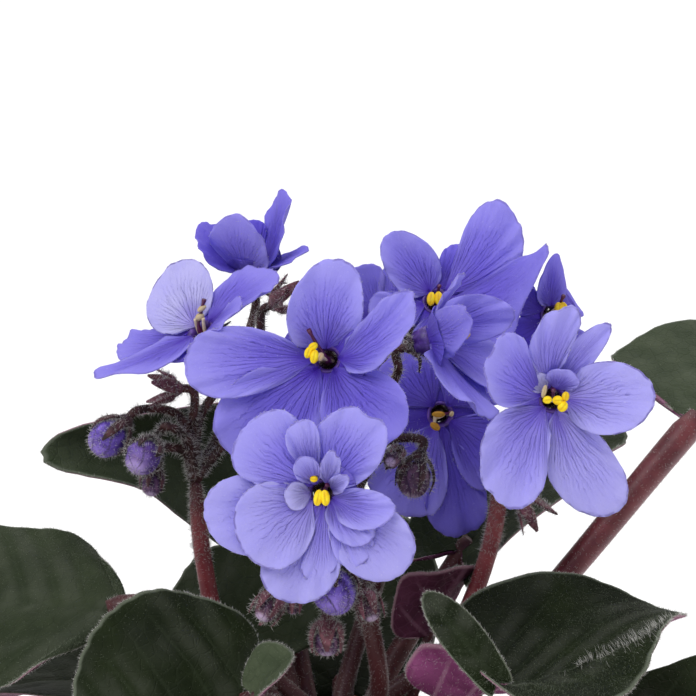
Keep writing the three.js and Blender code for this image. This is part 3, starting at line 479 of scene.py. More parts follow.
class Blade:
    """The middle surface of a leaf or petal. u runs from the attachment (0) to the edge (1), v from
    one side of the attachment (-1) round the tip (0) to the other (1). Angles are in degrees."""

    plain = dict(widest=0.75, point=0.0, notch=0.0, lobe=0.0, tilt=0.0, bend=-10.0, cup=12.0, fold=0.0,
                 sway=0.0, wave=0.0, waves=4, phase=0.0, reach=0.9, scallop=0.0, scallops=0,
                 ruffle=0.0, seed=0)

    def __init__(self, origin, out, faces, relief=None, **shape):
        self.origin = np.asarray(origin, dtype=float)
        self.out = unit(out)
        self.top = unit(faces - np.dot(faces, self.out) * self.out)
        self.side = np.cross(self.out, self.top)
        self.shape = {**self.plain, "cup_tip": shape.get("cup", self.plain["cup"]), **shape}
        self.relief = relief

    def flat(self, u, v):
        """The point's distance from the midrib and from the attachment, before the blade is bent."""
        s = self.shape
        turn = math.pi * (1 - np.abs(v) * s["reach"])
        rim = ((1 - np.cos(turn)) / 2) ** s["widest"]
        rim = rim + s["point"] * np.exp(-((turn - math.pi) / 0.5) ** 2)
        rim = rim - s["notch"] * np.exp(-((turn - math.pi) / 0.3) ** 2)
        rim = rim - s["lobe"] * np.exp(-((turn - 0.7) / 0.45) ** 2)
        teeth = s["scallop"] * np.abs(np.sin(s["scallops"] * math.pi * v + s["phase"])) * u ** 6
        x = u * np.sign(v) * s["width"] / 2 * np.sin(turn)
        return x * (1 + teeth), u * s["length"] * rim * (1 + teeth)

    def point(self, u, v):
        s = self.shape
        x, y = self.flat(u, v)
        share = y / s["length"]
        start, curl = math.radians(s["tilt"]), math.radians(s["bend"]) / s["length"]
        slope = start + math.radians(s["bend"]) * share
        out = (np.sin(slope) - math.sin(start)) / curl
        rise = (math.cos(start) - np.cos(slope)) / curl
        cupped = np.radians(s["cup"] + (s["cup_tip"] - s["cup"]) * np.clip(share, 0, 1)) / (s["width"] / 2)
        across = np.sin(cupped * x) / cupped + s["sway"] * y * share
        lift = (1 - np.cos(cupped * x)) / cupped
        lift = lift + s["wave"] * u * u * np.sin(s["waves"] * math.pi * v + s["phase"])
        lift = lift + math.tan(math.radians(s["fold"])) * (np.hypot(x, 1) - 1)
        if s["ruffle"]:
            lift = lift + s["ruffle"] * u ** 3 * lumps(9 * v, u, s["seed"], 2.0)
        if self.relief:
            lift = lift + self.relief(x, y, u)
        along = out - lift * np.sin(slope)
        return (self.origin + self.side * across[..., None] + self.out * along[..., None]
                + self.top * (rise + lift * np.cos(slope))[..., None])

    def normal(self, u, v, step=2e-3):
        u = np.maximum(u, 0.06)
        outwards = self.point(u + step, v) - self.point(u - step, v)
        sideways = self.point(u, v + step) - self.point(u, v - step)
        return unit(np.cross(sideways, outwards))

    def solid(self, thick, rings, spokes, start=0.04):
        """Closed: two faces, thinner towards the edge, with a rounded rim, and the marks of its points."""
        steps = start + (1 - start) * np.linspace(0, 1, rings + 1) ** 0.85
        u, v = np.meshgrid(steps, np.linspace(-1, 1, spokes + 1), indexing="ij")
        middle = self.point(u, v)
        half = self.normal(u, v) * (thick / 2 * (1 - 0.45 * u ** 4)[..., None])
        edge = middle[-1] + unit(self.point(u[-1] + 0.01, v[-1]) - middle[-1]) * thick * 0.3
        places = np.concatenate([(middle + half).reshape(-1, 3), (middle - half).reshape(-1, 3), edge])
        columns, below, rim = spokes + 1, u.size, 2 * u.size
        upper = grid_faces(rings + 1, columns)
        last = rings * columns
        j = np.arange(spokes)
        i = np.arange(rings) * columns
        end = i + spokes
        strips = [
            [last + j, last + j + 1, rim + j + 1, rim + j],
            [last + below + j, rim + j, rim + j + 1, last + below + j + 1],
            [j, below + j, below + j + 1, j + 1],
            [i, i + columns, i + columns + below, i + below],
            [end + below, end + columns + below, end + columns, end],
        ]
        corners = np.array([[last, rim, last + below], [last + spokes, last + spokes + below, rim + spokes]])
        faces = [upper[:, ::-1], upper + below]
        faces += [np.stack(strip, 1)[:, ::-1] for strip in strips]
        faces.append(corners[:, ::-1])
        x, y = self.flat(u, v)
        marks = {name: np.concatenate([value.ravel(), value.ravel(), value[-1]])
                 for name, value in (("edge", u), ("fan", v), ("across", x), ("along", y))}
        marks["under"] = np.concatenate([np.zeros(u.size), np.ones(u.size), np.full(columns, 0.5)])
        return places, faces, marks


HAIR_R = 0.04
FINE_HAIR_R = HAIR_R * 0.8
COARSE_HAIR_R = HAIR_R * 1.2


def hair_shapes(roots, directions, lengths, radius):
    """Fine straight hairs, each a closed spike with three sides."""
    side = unit(np.cross(directions, [0.31, 0.52, 0.79]))
    third = np.cross(directions, side)
    corners = [roots + radius * (math.cos(a) * side + math.sin(a) * third) for a in np.radians([0, 120, 240])]
    places = np.stack([*corners, roots + directions * np.reshape(lengths, (-1, 1))], 1)
    base = 4 * np.arange(len(roots))[:, None, None]
    spike = np.array([[0, 1, 3], [1, 2, 3], [2, 0, 3], [0, 2, 1]])
    return places.reshape(-1, 3), [(base + spike).reshape(-1, 3)]


def leaning(directions, rng, lean):
    return unit(directions + rng.normal(0, lean, directions.shape))


def fur(roots, out, rng, lean, length, radius, shortest=0.5):
    """Hairs that lean a little, and that are from the share shortest of the length to a tenth over it."""
    directions = leaning(out, rng, lean)
    return hair_shapes(roots, directions, length * rng.uniform(shortest, 1.1, len(roots)), radius)


def smooth_path(points, steps):
    """A smooth curve through the points, with steps parts between each two."""
    p = np.array(points, dtype=float)
    p = np.concatenate([[2 * p[0] - p[1]], p, [2 * p[-1] - p[-2]]])
    gap = np.sqrt(np.linalg.norm(np.diff(p, axis=0), axis=1))
    t = np.linspace(0, 1, steps, endpoint=False)[:, None]
    curve = []
    for k in range(1, len(p) - 2):
        g0, g1, g2 = gap[k - 1], gap[k], gap[k + 1]
        leave = ((p[k] - p[k - 1]) / g0 - (p[k + 1] - p[k - 1]) / (g0 + g1) + (p[k + 1] - p[k]) / g1) * g1
        arrive = ((p[k + 1] - p[k]) / g1 - (p[k + 2] - p[k]) / (g1 + g2) + (p[k + 2] - p[k + 1]) / g2) * g1
        curve.append((2 * t ** 3 - 3 * t ** 2 + 1) * p[k] + (t ** 3 - 2 * t ** 2 + t) * leave
                     + (3 * t ** 2 - 2 * t ** 3) * p[k + 1] + (t ** 3 - t ** 2) * arrive)
    return np.concatenate([*curve, p[-2:-1]])


class Stem:
    """A round or flattened shoot along a path, closed at both ends."""

    def __init__(self, path, radii, sides, flat=1.0, up=(0.3, 0.5, 0.81)):
        self.path = np.asarray(path, dtype=float)
        self.radii = np.broadcast_to(radii, len(path)).astype(float)
        self.sides = sides
        self.flat = flat
        across = np.array(up, dtype=float)
        frames = []
        for direction in unit(np.gradient(self.path, axis=0)):
            across = unit(across - np.dot(across, direction) * direction)
            frames.append((across, np.cross(across, direction)))
        self.thin, self.wide = np.swapaxes(frames, 0, 1)

    def at(self, place, turn):
        """Points on the skin and the ways it faces, where place counts along the path's points."""
        row = np.minimum(np.asarray(place).astype(int), len(self.path) - 2)
        share = (place - row)[..., None]

        def mixed(values):
            return values[row] * (1 - share) + values[row + 1] * share

        thin, wide = mixed(self.thin), mixed(self.wide)
        c, s = np.cos(turn)[..., None], np.sin(turn)[..., None]
        skin = mixed(self.path) + mixed(self.radii[:, None]) * (self.flat * c * thin + s * wide)
        return skin, unit(c * thin / self.flat + s * wide)

    def rings(self):
        place, turn = np.meshgrid(np.arange(len(self.path), dtype=float), circle(self.sides), indexing="ij")
        return self.at(place, turn)

    def solid(self):
        skin, _ = self.rings()
        places = np.concatenate([skin.reshape(-1, 3), self.path[:1], self.path[-1:]])
        return places, tube_faces(len(self.path), self.sides)

    def belly(self):
        """How far each point of the solid faces the ground: 0 above and 1 below."""
        _, out = self.rings()
        return np.append(0.5 - 0.5 * out[..., 2].ravel(), [0.5, 0.5])

    def hairs(self, rng, per_area, length, radius, first=0.0):
        """Hairs spread evenly over the skin, from the share first of the path to its end."""
        pace = np.linalg.norm(np.diff(self.path, axis=0), axis=1)
        area = pace * 2 * math.pi * self.radii[:-1] * (1 + self.flat) / 2
        area[:int(first * len(area))] = 0
        count = rng.poisson(area.sum() * per_area)
        row = rng.choice(len(area), count, p=area / area.sum())
        roots, out = self.at(row + rng.uniform(0, 1, count), rng.uniform(0, 2 * math.pi, count))
        return fur(roots - out * 0.05, out, rng, lean=0.35, length=length, radius=radius)


LEAF_THICK = 1.0
PETIOLE_ROOT_R = 2.1
PETIOLE_R = 2.5
PETIOLE_STEPS = 22
PETIOLE_START = 0.4
PETIOLE_END = 0.36
SLIM_LEAF = 34
UPPER = 91.5
LOWER = 86
VEIN_SPACING = 7.5
VEIN_LEAN = 0.62
VEIN_CURVE = 0.006
PILLOW_RISE = 0.34
RIPPLE_RISE = 0.14
MIDRIB_DIP = 0.5
MIDRIB_R = 1.3


def vein_turn(x, y):
    """A count of side veins: it is whole along each vein, which leaves the midrib and bends forwards."""
    return (y - VEIN_LEAN * np.abs(x) - VEIN_CURVE * x * x) / VEIN_SPACING


def quilting(x, y, u):
    """The blade stands up between its veins and dips along the midrib."""
    fade = np.clip(u * 3, 0, 1) * np.clip((1 - u) * 3, 0, 1)
    pillow_and_sheen = np.sin(math.pi * vein_turn(x, y)) ** 2 - 0.5
    ripple = lumps(x, y, 41, 6)
    dip = MIDRIB_DIP * np.exp(-(x / MIDRIB_R) ** 2) * np.clip((1 - u) * 4, 0, 1)
    return fade * (PILLOW_RISE * pillow_and_sheen + RIPPLE_RISE * ripple) - dip


hair = Finish("white_hair")
tone = hair.mix(hair.noise(6), (0.62, 0.60, 0.56), (0.80, 0.79, 0.77))
hair.set(Base_Color=tone, Roughness=0.35)
hair.glow_through(0.35, (0.8, 0.79, 0.77))
down = Finish("leaf_down")
tone = down.mix(down.noise(4), (0.09, 0.115, 0.075), (0.26, 0.29, 0.21))
down.set(Base_Color=tone, Roughness=0.45, Specular_IOR_Level=0.3)

f = leaf_finish = Finish("leaf_blade")
edge, blush = f.mark("edge"), f.mark("blush")
distance = abs(f.mark("across"))
turn = f.mark("along") - distance * VEIN_LEAN - distance * distance * VEIN_CURVE
turn = f.math("DIVIDE", turn, VEIN_SPACING) + f.noise(9, 2) * 0.12
near_vein = f.off_half(turn + 0.5)
midrib = f.fade(distance, MIDRIB_R, 0.4)
veins = f.math("MAXIMUM", f.fade(near_vein, 0.09, 0.02) * f.fade(edge, 0.98, 0.7), midrib)
net = f.fade(f.cells(2.4, "DISTANCE_TO_EDGE"), 0.09, 0.0)
# Painted sheen: pale grey bands on the pillows between the side veins, where the hairs would catch the light.
pillow_and_sheen = f.fade(near_vein, 0.06, 0.40) * f.fade(f.noise(15, 2), 0.42, 0.60)
young = f.mottled(6, 3, (0.045, 0.062, 0.033), (0.075, 0.094, 0.055), low=0.3)
upper = f.mottled(13, 4, (0.0036, 0.0070, 0.0012), (0.0115, 0.0180, 0.0050))
# Painted sheen: broad pale grey patches where the hairs would catch the light.
upper = f.mix(f.fade(f.noise(22, 2), 0.48, 0.66) * 0.35, upper, (0.034, 0.038, 0.030))
upper = f.mix(pillow_and_sheen * 0.55, upper, (0.044, 0.049, 0.036))
upper = f.mix(f.mark("fresh"), upper, young)
upper = f.mix(veins * 0.22, upper, (0.035, 0.046, 0.026))
upper = f.mix(net * 0.10, upper, (0.035, 0.046, 0.026))
upper = f.mix(f.fade(edge, 0.982, 1.0), upper, (0.105, 0.120, 0.088))
dull = f.mottled(8, 3, (0.026, 0.007, 0.011), (0.070, 0.022, 0.036), low=0.3)
lower = f.mottled(8, 3, (0.150, 0.030, 0.095), (0.270, 0.070, 0.190), low=0.3)
lower = f.mix(blush, dull, lower)
lower = f.mix(net * 0.12, lower, (0.26, 0.11, 0.20))
lower = f.mix(veins * (blush * 0.4 + 0.15), lower, (0.40, 0.22, 0.30))
lower = f.mix(f.fade(edge, 0.955, 1.0) * 0.7, lower, (0.36, 0.22, 0.26))
tone = f.mix(f.fade(f.mark("under"), 0.35, 0.75), upper, lower)
f.set(Base_Color=tone, Roughness=f.noise(1.5) * 0.15 + 0.52)
f.set(Sheen_Weight=0.012, Sheen_Roughness=0.4, Sheen_Tint=(0.78, 0.85, 0.70), Specular_IOR_Level=0.08)
f.set(Normal=f.bump(net * -1.0, 0.08, f.bump(f.cells(0.55), 0.07)))

f = petiole_finish = Finish("petiole_skin")
# Painted shade: a petiole is nearly black maroon, which stands for shade, except for the share that its leaf
# sets to show lit rosy red, paler pink on its belly.
tone = f.mottled(7, 3, (0.030, 0.006, 0.008), (0.085, 0.022, 0.024))
rosy = f.mottled(7, 3, (0.110, 0.014, 0.022), (0.190, 0.036, 0.045))
rosy = f.mix(f.fade(f.mark("belly"), 0.45, 0.9), rosy, (0.42, 0.23, 0.26))
tone = f.mix(f.mark("fresh"), tone, rosy)
f.set(Base_Color=tone, Roughness=0.45, Sheen_Weight=0.08, Sheen_Roughness=0.4, Specular_IOR_Level=0.35)
f.set(Normal=f.bump(f.noise(0.7, 4), 0.10))

# root is the petiole's azimuth and height on the crown, and lean its rise from there. base is the
# point where the blade starts. come, aim and faces are an azimuth and a rise each: how the petiole
# arrives, how the midrib leaves, and how the upper side looks. near is 2 for the front leaves, 1 for
# those behind them and 0 for the lowest and rearmost ones. fresh is how light green the upper
# side is, blush how purple the lower side, red how much of the petiole shows lit rosy red rather
# than the dark maroon painted for shade, and stout how thick it is. furry is how thick the hair is
# and crest where along the midrib long hairs start. curl is a narrow flap of the margin that curls
# over.
LEAVES = {
    "leaf_left": dict(
        root=(196, UPPER), lean=62, base=(-42.5, -15, 128), aim=(158, -2), faces=(-86, 59), come=(196, -8),
        length=57.5, width=45.5, bend=-4, cup=-32, cup_tip=9, sway=0.03, lobe=-0.07, widest=1.02, wave=0.8,
        waves=7, phase=0.6, near=2, fresh=0.3, blush=0.2),
    "leaf_front_left": dict(
        root=(236, UPPER), lean=58, base=(-17.5, -24, 112), aim=(205, 8), faces=(-92, 27), length=33,
        width=42.5, bend=-26, cup=5, cup_tip=16, sway=0.04, lobe=0.17, widest=1.04, wave=0.7, waves=8,
        phase=2.1, near=2, fresh=0.06, blush=0.3),
    "leaf_young": dict(
        root=(252, LOWER), lean=18, base=(-16, -40, 118.5), aim=(325, 60), faces=(-120, 61), come=(240, 60),
        length=11.5, width=12.5, bend=-32, cup=30, cup_tip=37, sway=0.02, lobe=0.14, widest=1.04, wave=0.2,
        waves=4, near=2, fresh=0.85, blush=0.5),
    "leaf_cupped": dict(
        root=(303, UPPER), lean=25, base=(24.5, -22, 114), aim=(335, 10), faces=(-51, 74), come=(325, 60),
        length=43, width=55.5, bend=24, cup=118, cup_tip=-57, sway=-0.11, lobe=0.3, widest=0.76, wave=0.6,
        waves=6, phase=1, near=2, fresh=0, blush=1, furry=2.5, crest=0.5,
        curl=dict(base=(29, -51.5, 125), aim=(142, 43), faces=(-80, 20), length=21, width=8,
                  bend=-12, cup=20)),
    "leaf_right_low": dict(
        root=(332, LOWER), lean=22, base=(50.5, -15, 97.5), aim=(351, 9), faces=(-88, 56), length=48,
        width=41, bend=-19, cup=4, cup_tip=16, sway=-0.11, lobe=0.14, widest=1.02, wave=0.9, waves=7,
        phase=0.3, near=1, fresh=0.08, blush=0.6),
    "leaf_back_left": dict(
        root=(122, UPPER), lean=50, base=(-17, 28, 141), aim=(172, 40), faces=(-106, 47), come=(190, 60),
        length=42.5, width=35, bend=40, cup=14, cup_tip=125, sway=-0.6, lobe=0.2, widest=1.53, wave=0.6,
        waves=6, phase=2.5, near=1, fresh=0.55, blush=0.5),
    "leaf_behind_left": dict(
        root=(161, UPPER), lean=45, base=(-12, 5, 112), aim=(156, 44), faces=(-94, 20), length=27, width=34,
        bend=-16, cup=13, wave=0.7, waves=7, phase=1.2, near=1, fresh=0.3, blush=0.2),
    "leaf_behind_right": dict(
        root=(57, UPPER), lean=60, base=(26, 14, 133), aim=(41, 34), faces=(-135, 59), come=(-15, 60),
        length=49, width=34.5, bend=-21, cup=33, cup_tip=20, sway=-0.03, lobe=0.25, widest=1.21, wave=0.8,
        waves=6, phase=0.4, near=1, fresh=0.2, blush=0.3),
    "leaf_inner": dict(
        root=(34, 87), lean=45, stout=0.85, base=(18.5, 6, 117), aim=(-29, 71), faces=(137, 22),
        come=(60, 75), length=18.5, width=23.5, bend=-28, cup=43, cup_tip=36, sway=0.07, lobe=0.18,
        widest=0.84, wave=0.5, waves=5, phase=0.9, near=1, fresh=0.05, blush=0.15),
    "leaf_right": dict(
        root=(8, UPPER), lean=36, stout=1.25, base=(75, 24, 157.5), aim=(62, 24), faces=(-128, 58),
        come=(20, 45), length=52.5, width=52.5, bend=-13, cup=25, cup_tip=8, sway=0.17, lobe=-0.18,
        widest=1.26, wave=0.8, waves=6, phase=2, near=1, fresh=0.6, blush=0.5, red=0.6),
    "leaf_back": dict(
        root=(90, LOWER), lean=40, base=(1, 28, 98), aim=(93, 54), faces=(-87, 36), length=49, width=44,
        bend=-22, cup=14, wave=0.9, waves=7, phase=0.2, fresh=0.05, blush=0.3),
    "leaf_back_low": dict(
        root=(130, LOWER), lean=28, base=(-36, 37, 104), aim=(136, 4), faces=(-44, 84), length=46, width=43,
        bend=-40, cup=12, wave=0.9, waves=6, phase=1.7),
    "leaf_front_low": dict(
        root=(290, LOWER), lean=18, base=(8, -42, 99), aim=(281, 0), faces=(101, 84), length=46, width=43,
        bend=-54, cup=12, wave=0.9, waves=7, phase=0.9),
    "leaf_left_front_low": dict(
        root=(214, LOWER), lean=18, base=(-34, -26, 93.5), aim=(214, -4), faces=(34, 84), length=45,
        width=42, bend=-50, cup=12, wave=0.9, waves=6, phase=2.4),
    "leaf_right_back_low": dict(
        root=(58, LOWER), lean=24, base=(40, 36, 104), aim=(66, 2), faces=(-114, 84), length=44, width=43,
        bend=-42, cup=12, wave=0.9, waves=7, phase=1.4),
    "leaf_left_low": dict(
        root=(172, LOWER), lean=22, base=(-50, 8, 106), aim=(172, 4), faces=(-8, 84), length=46, width=43,
        bend=-44, cup=12, wave=0.9, waves=6, phase=0.5),
}
LEAF_SHAPE = dict(widest=1.1, point=0.03, lobe=0.16, fold=4.0, reach=0.93, scallop=0.012, scallops=13)
LARGE_BLADE = 2000
# For each near: the blade's rings and spokes, the hairs on the margin, upper face and lower face of
# a large blade, and the hairs on a square millimetre of the petiole.
LEAF_DETAIL = [(16, 44, 200, 60, 40, 0.6), (22, 64, 600, 500, 300, 1.2), (36, 110, 1500, 2600, 1500, 2)]
CREST_HAIRS = 260
CREST_HAIR = 1.9


def petiole_path(leaf):
    """A curve from the crown to a little way into the blade, one handle along each end's way."""
    azimuth, height = leaf["root"]
    start = heading(azimuth, 0) * (CROWN_R - 2) + np.array([0, 0, height - 1])
    come = heading(*leaf.get("come", leaf["aim"]))
    end = np.array(leaf["base"], dtype=float) + heading(*leaf["aim"]) * 0.06 * leaf["length"]
    span = np.linalg.norm(end - start)
    first = start + heading(azimuth, leaf["lean"]) * PETIOLE_START * span
    last = end - come * PETIOLE_END * span
    t = np.linspace(0, 1, PETIOLE_STEPS + 1)[:, None]
    return (1 - t) ** 3 * start + 3 * t * (1 - t) ** 2 * first + 3 * t ** 2 * (1 - t) * last + t ** 3 * end


def leaf_blade(leaf):
    keys = {*Blade.plain, "length", "width", "cup_tip"}
    shape = {**LEAF_SHAPE, **{key: value for key, value in leaf.items() if key in keys}}
    return Blade(leaf["base"], heading(*leaf["aim"]), heading(*leaf["faces"]), quilting, **shape)


def blade_hairs(blade, rng, count, length, face):
    """Short hairs over one face of a blade. face is 1 for the upper side and -1 for the lower."""
    u, v = np.sqrt(rng.uniform(0.05, 1, count)), rng.uniform(-1, 1, count)
    out = blade.normal(u, v) * face
    return fur(blade.point(u, v) + out * 0.35, out, rng, lean=0.45, length=length, radius=FINE_HAIR_R)


def edge_hairs(blade, rng, count, length):
    """A fringe of hairs that point outwards from the margin."""
    v = rng.uniform(-1, 1, count)
    u = np.full(count, 1.0)
    roots = blade.point(u, v)
    out = unit(blade.point(u + 0.01, v) - roots)
    out = unit(out + blade.normal(u, v) * rng.uniform(-0.8, 0.8, (count, 1)))
    return fur(roots, out, rng, lean=0.3, length=length, radius=HAIR_R)


def crest_hairs(blade, rng, first):
    """Long upright hairs along the midrib, from the share first of its length to the tip."""
    u, v = rng.uniform(first, 1, CREST_HAIRS) ** 0.8, rng.normal(0, 0.05, CREST_HAIRS)
    out = blade.normal(u, v)
    roots = blade.point(u, v) + out * 0.35
    return fur(roots, out, rng, lean=0.25, length=CREST_HAIR, radius=COARSE_HAIR_R, shortest=0.3)


for seed, (name, leaf) in enumerate(LEAVES.items()):
    rings, spokes, fringe, above, below, on_petiole = LEAF_DETAIL[leaf.get("near", 0)]
    rng = np.random.default_rng(100 + seed)
    piece = Piece(name + "_leaf", [leaf_finish, petiole_finish, hair, down],
                  ("across", "along", "edge", "under", "fresh", "blush", "belly"))
    looks = dict(fresh=leaf.get("fresh", 0.1), blush=leaf.get("blush", 0.4))
    whole = leaf_blade(leaf)
    parts = [(whole, leaf.get("furry", 1))]
    if "curl" in leaf:
        parts.append((leaf_blade(leaf["curl"]), 4))
    for blade, furry in parts:
        size = blade.shape["length"] * blade.shape["width"] / LARGE_BLADE
        places, faces, marks = blade.solid(LEAF_THICK, rings, spokes)
        piece.add(places, faces, leaf_finish, **looks, **marks)
        margin = hair if leaf.get("near") else down
        piece.add(*edge_hairs(blade, rng, int(fringe * size ** 0.5), length=0.9), margin)
        piece.add(*blade_hairs(blade, rng, int(above * size * furry), length=0.55, face=1), down)
        piece.add(*blade_hairs(blade, rng, int(below * size), length=0.7, face=-1), hair)
    if "crest" in leaf:
        piece.add(*crest_hairs(whole, rng, leaf["crest"]), hair)
    slim = min(1, leaf["length"] / SLIM_LEAF)
    radii = np.linspace(PETIOLE_ROOT_R, PETIOLE_R * leaf.get("stout", 1), PETIOLE_STEPS + 1) * slim
    radii[-1] *= 0.7
    petiole = Stem(petiole_path(leaf), radii, sides=14)
    piece.add(*petiole.solid(), petiole_finish, fresh=leaf.get("red", 0.1), belly=petiole.belly())
    piece.add(*petiole.hairs(rng, on_petiole, length=0.8, radius=FINE_HAIR_R), hair)
    piece.build("leaf", name)


# The flower stalks: maroon peduncles that fork into thin dark pedicels, all covered with short white
# hairs. Each pedicel ends in a calyx of five hairy sepals, and a pistil stands in each flower.
class Seat:
    """A place on the plant with its own front, top and right, for a flower, bud or calyx."""

    def __init__(self, at, yaw, pitch):
        self.at = np.array(at, dtype=float)
        front = heading(yaw - 90, pitch)
        top = unit(np.array([0, 0, 1.0]) - front[2] * front)
        self.axes = np.stack([np.cross(top, front), top, front])

    def place(self, points):
        return self.at + np.asarray(points, dtype=float) @ self.axes

    def turned(self, directions):
        return np.asarray(directions, dtype=float) @ self.axes
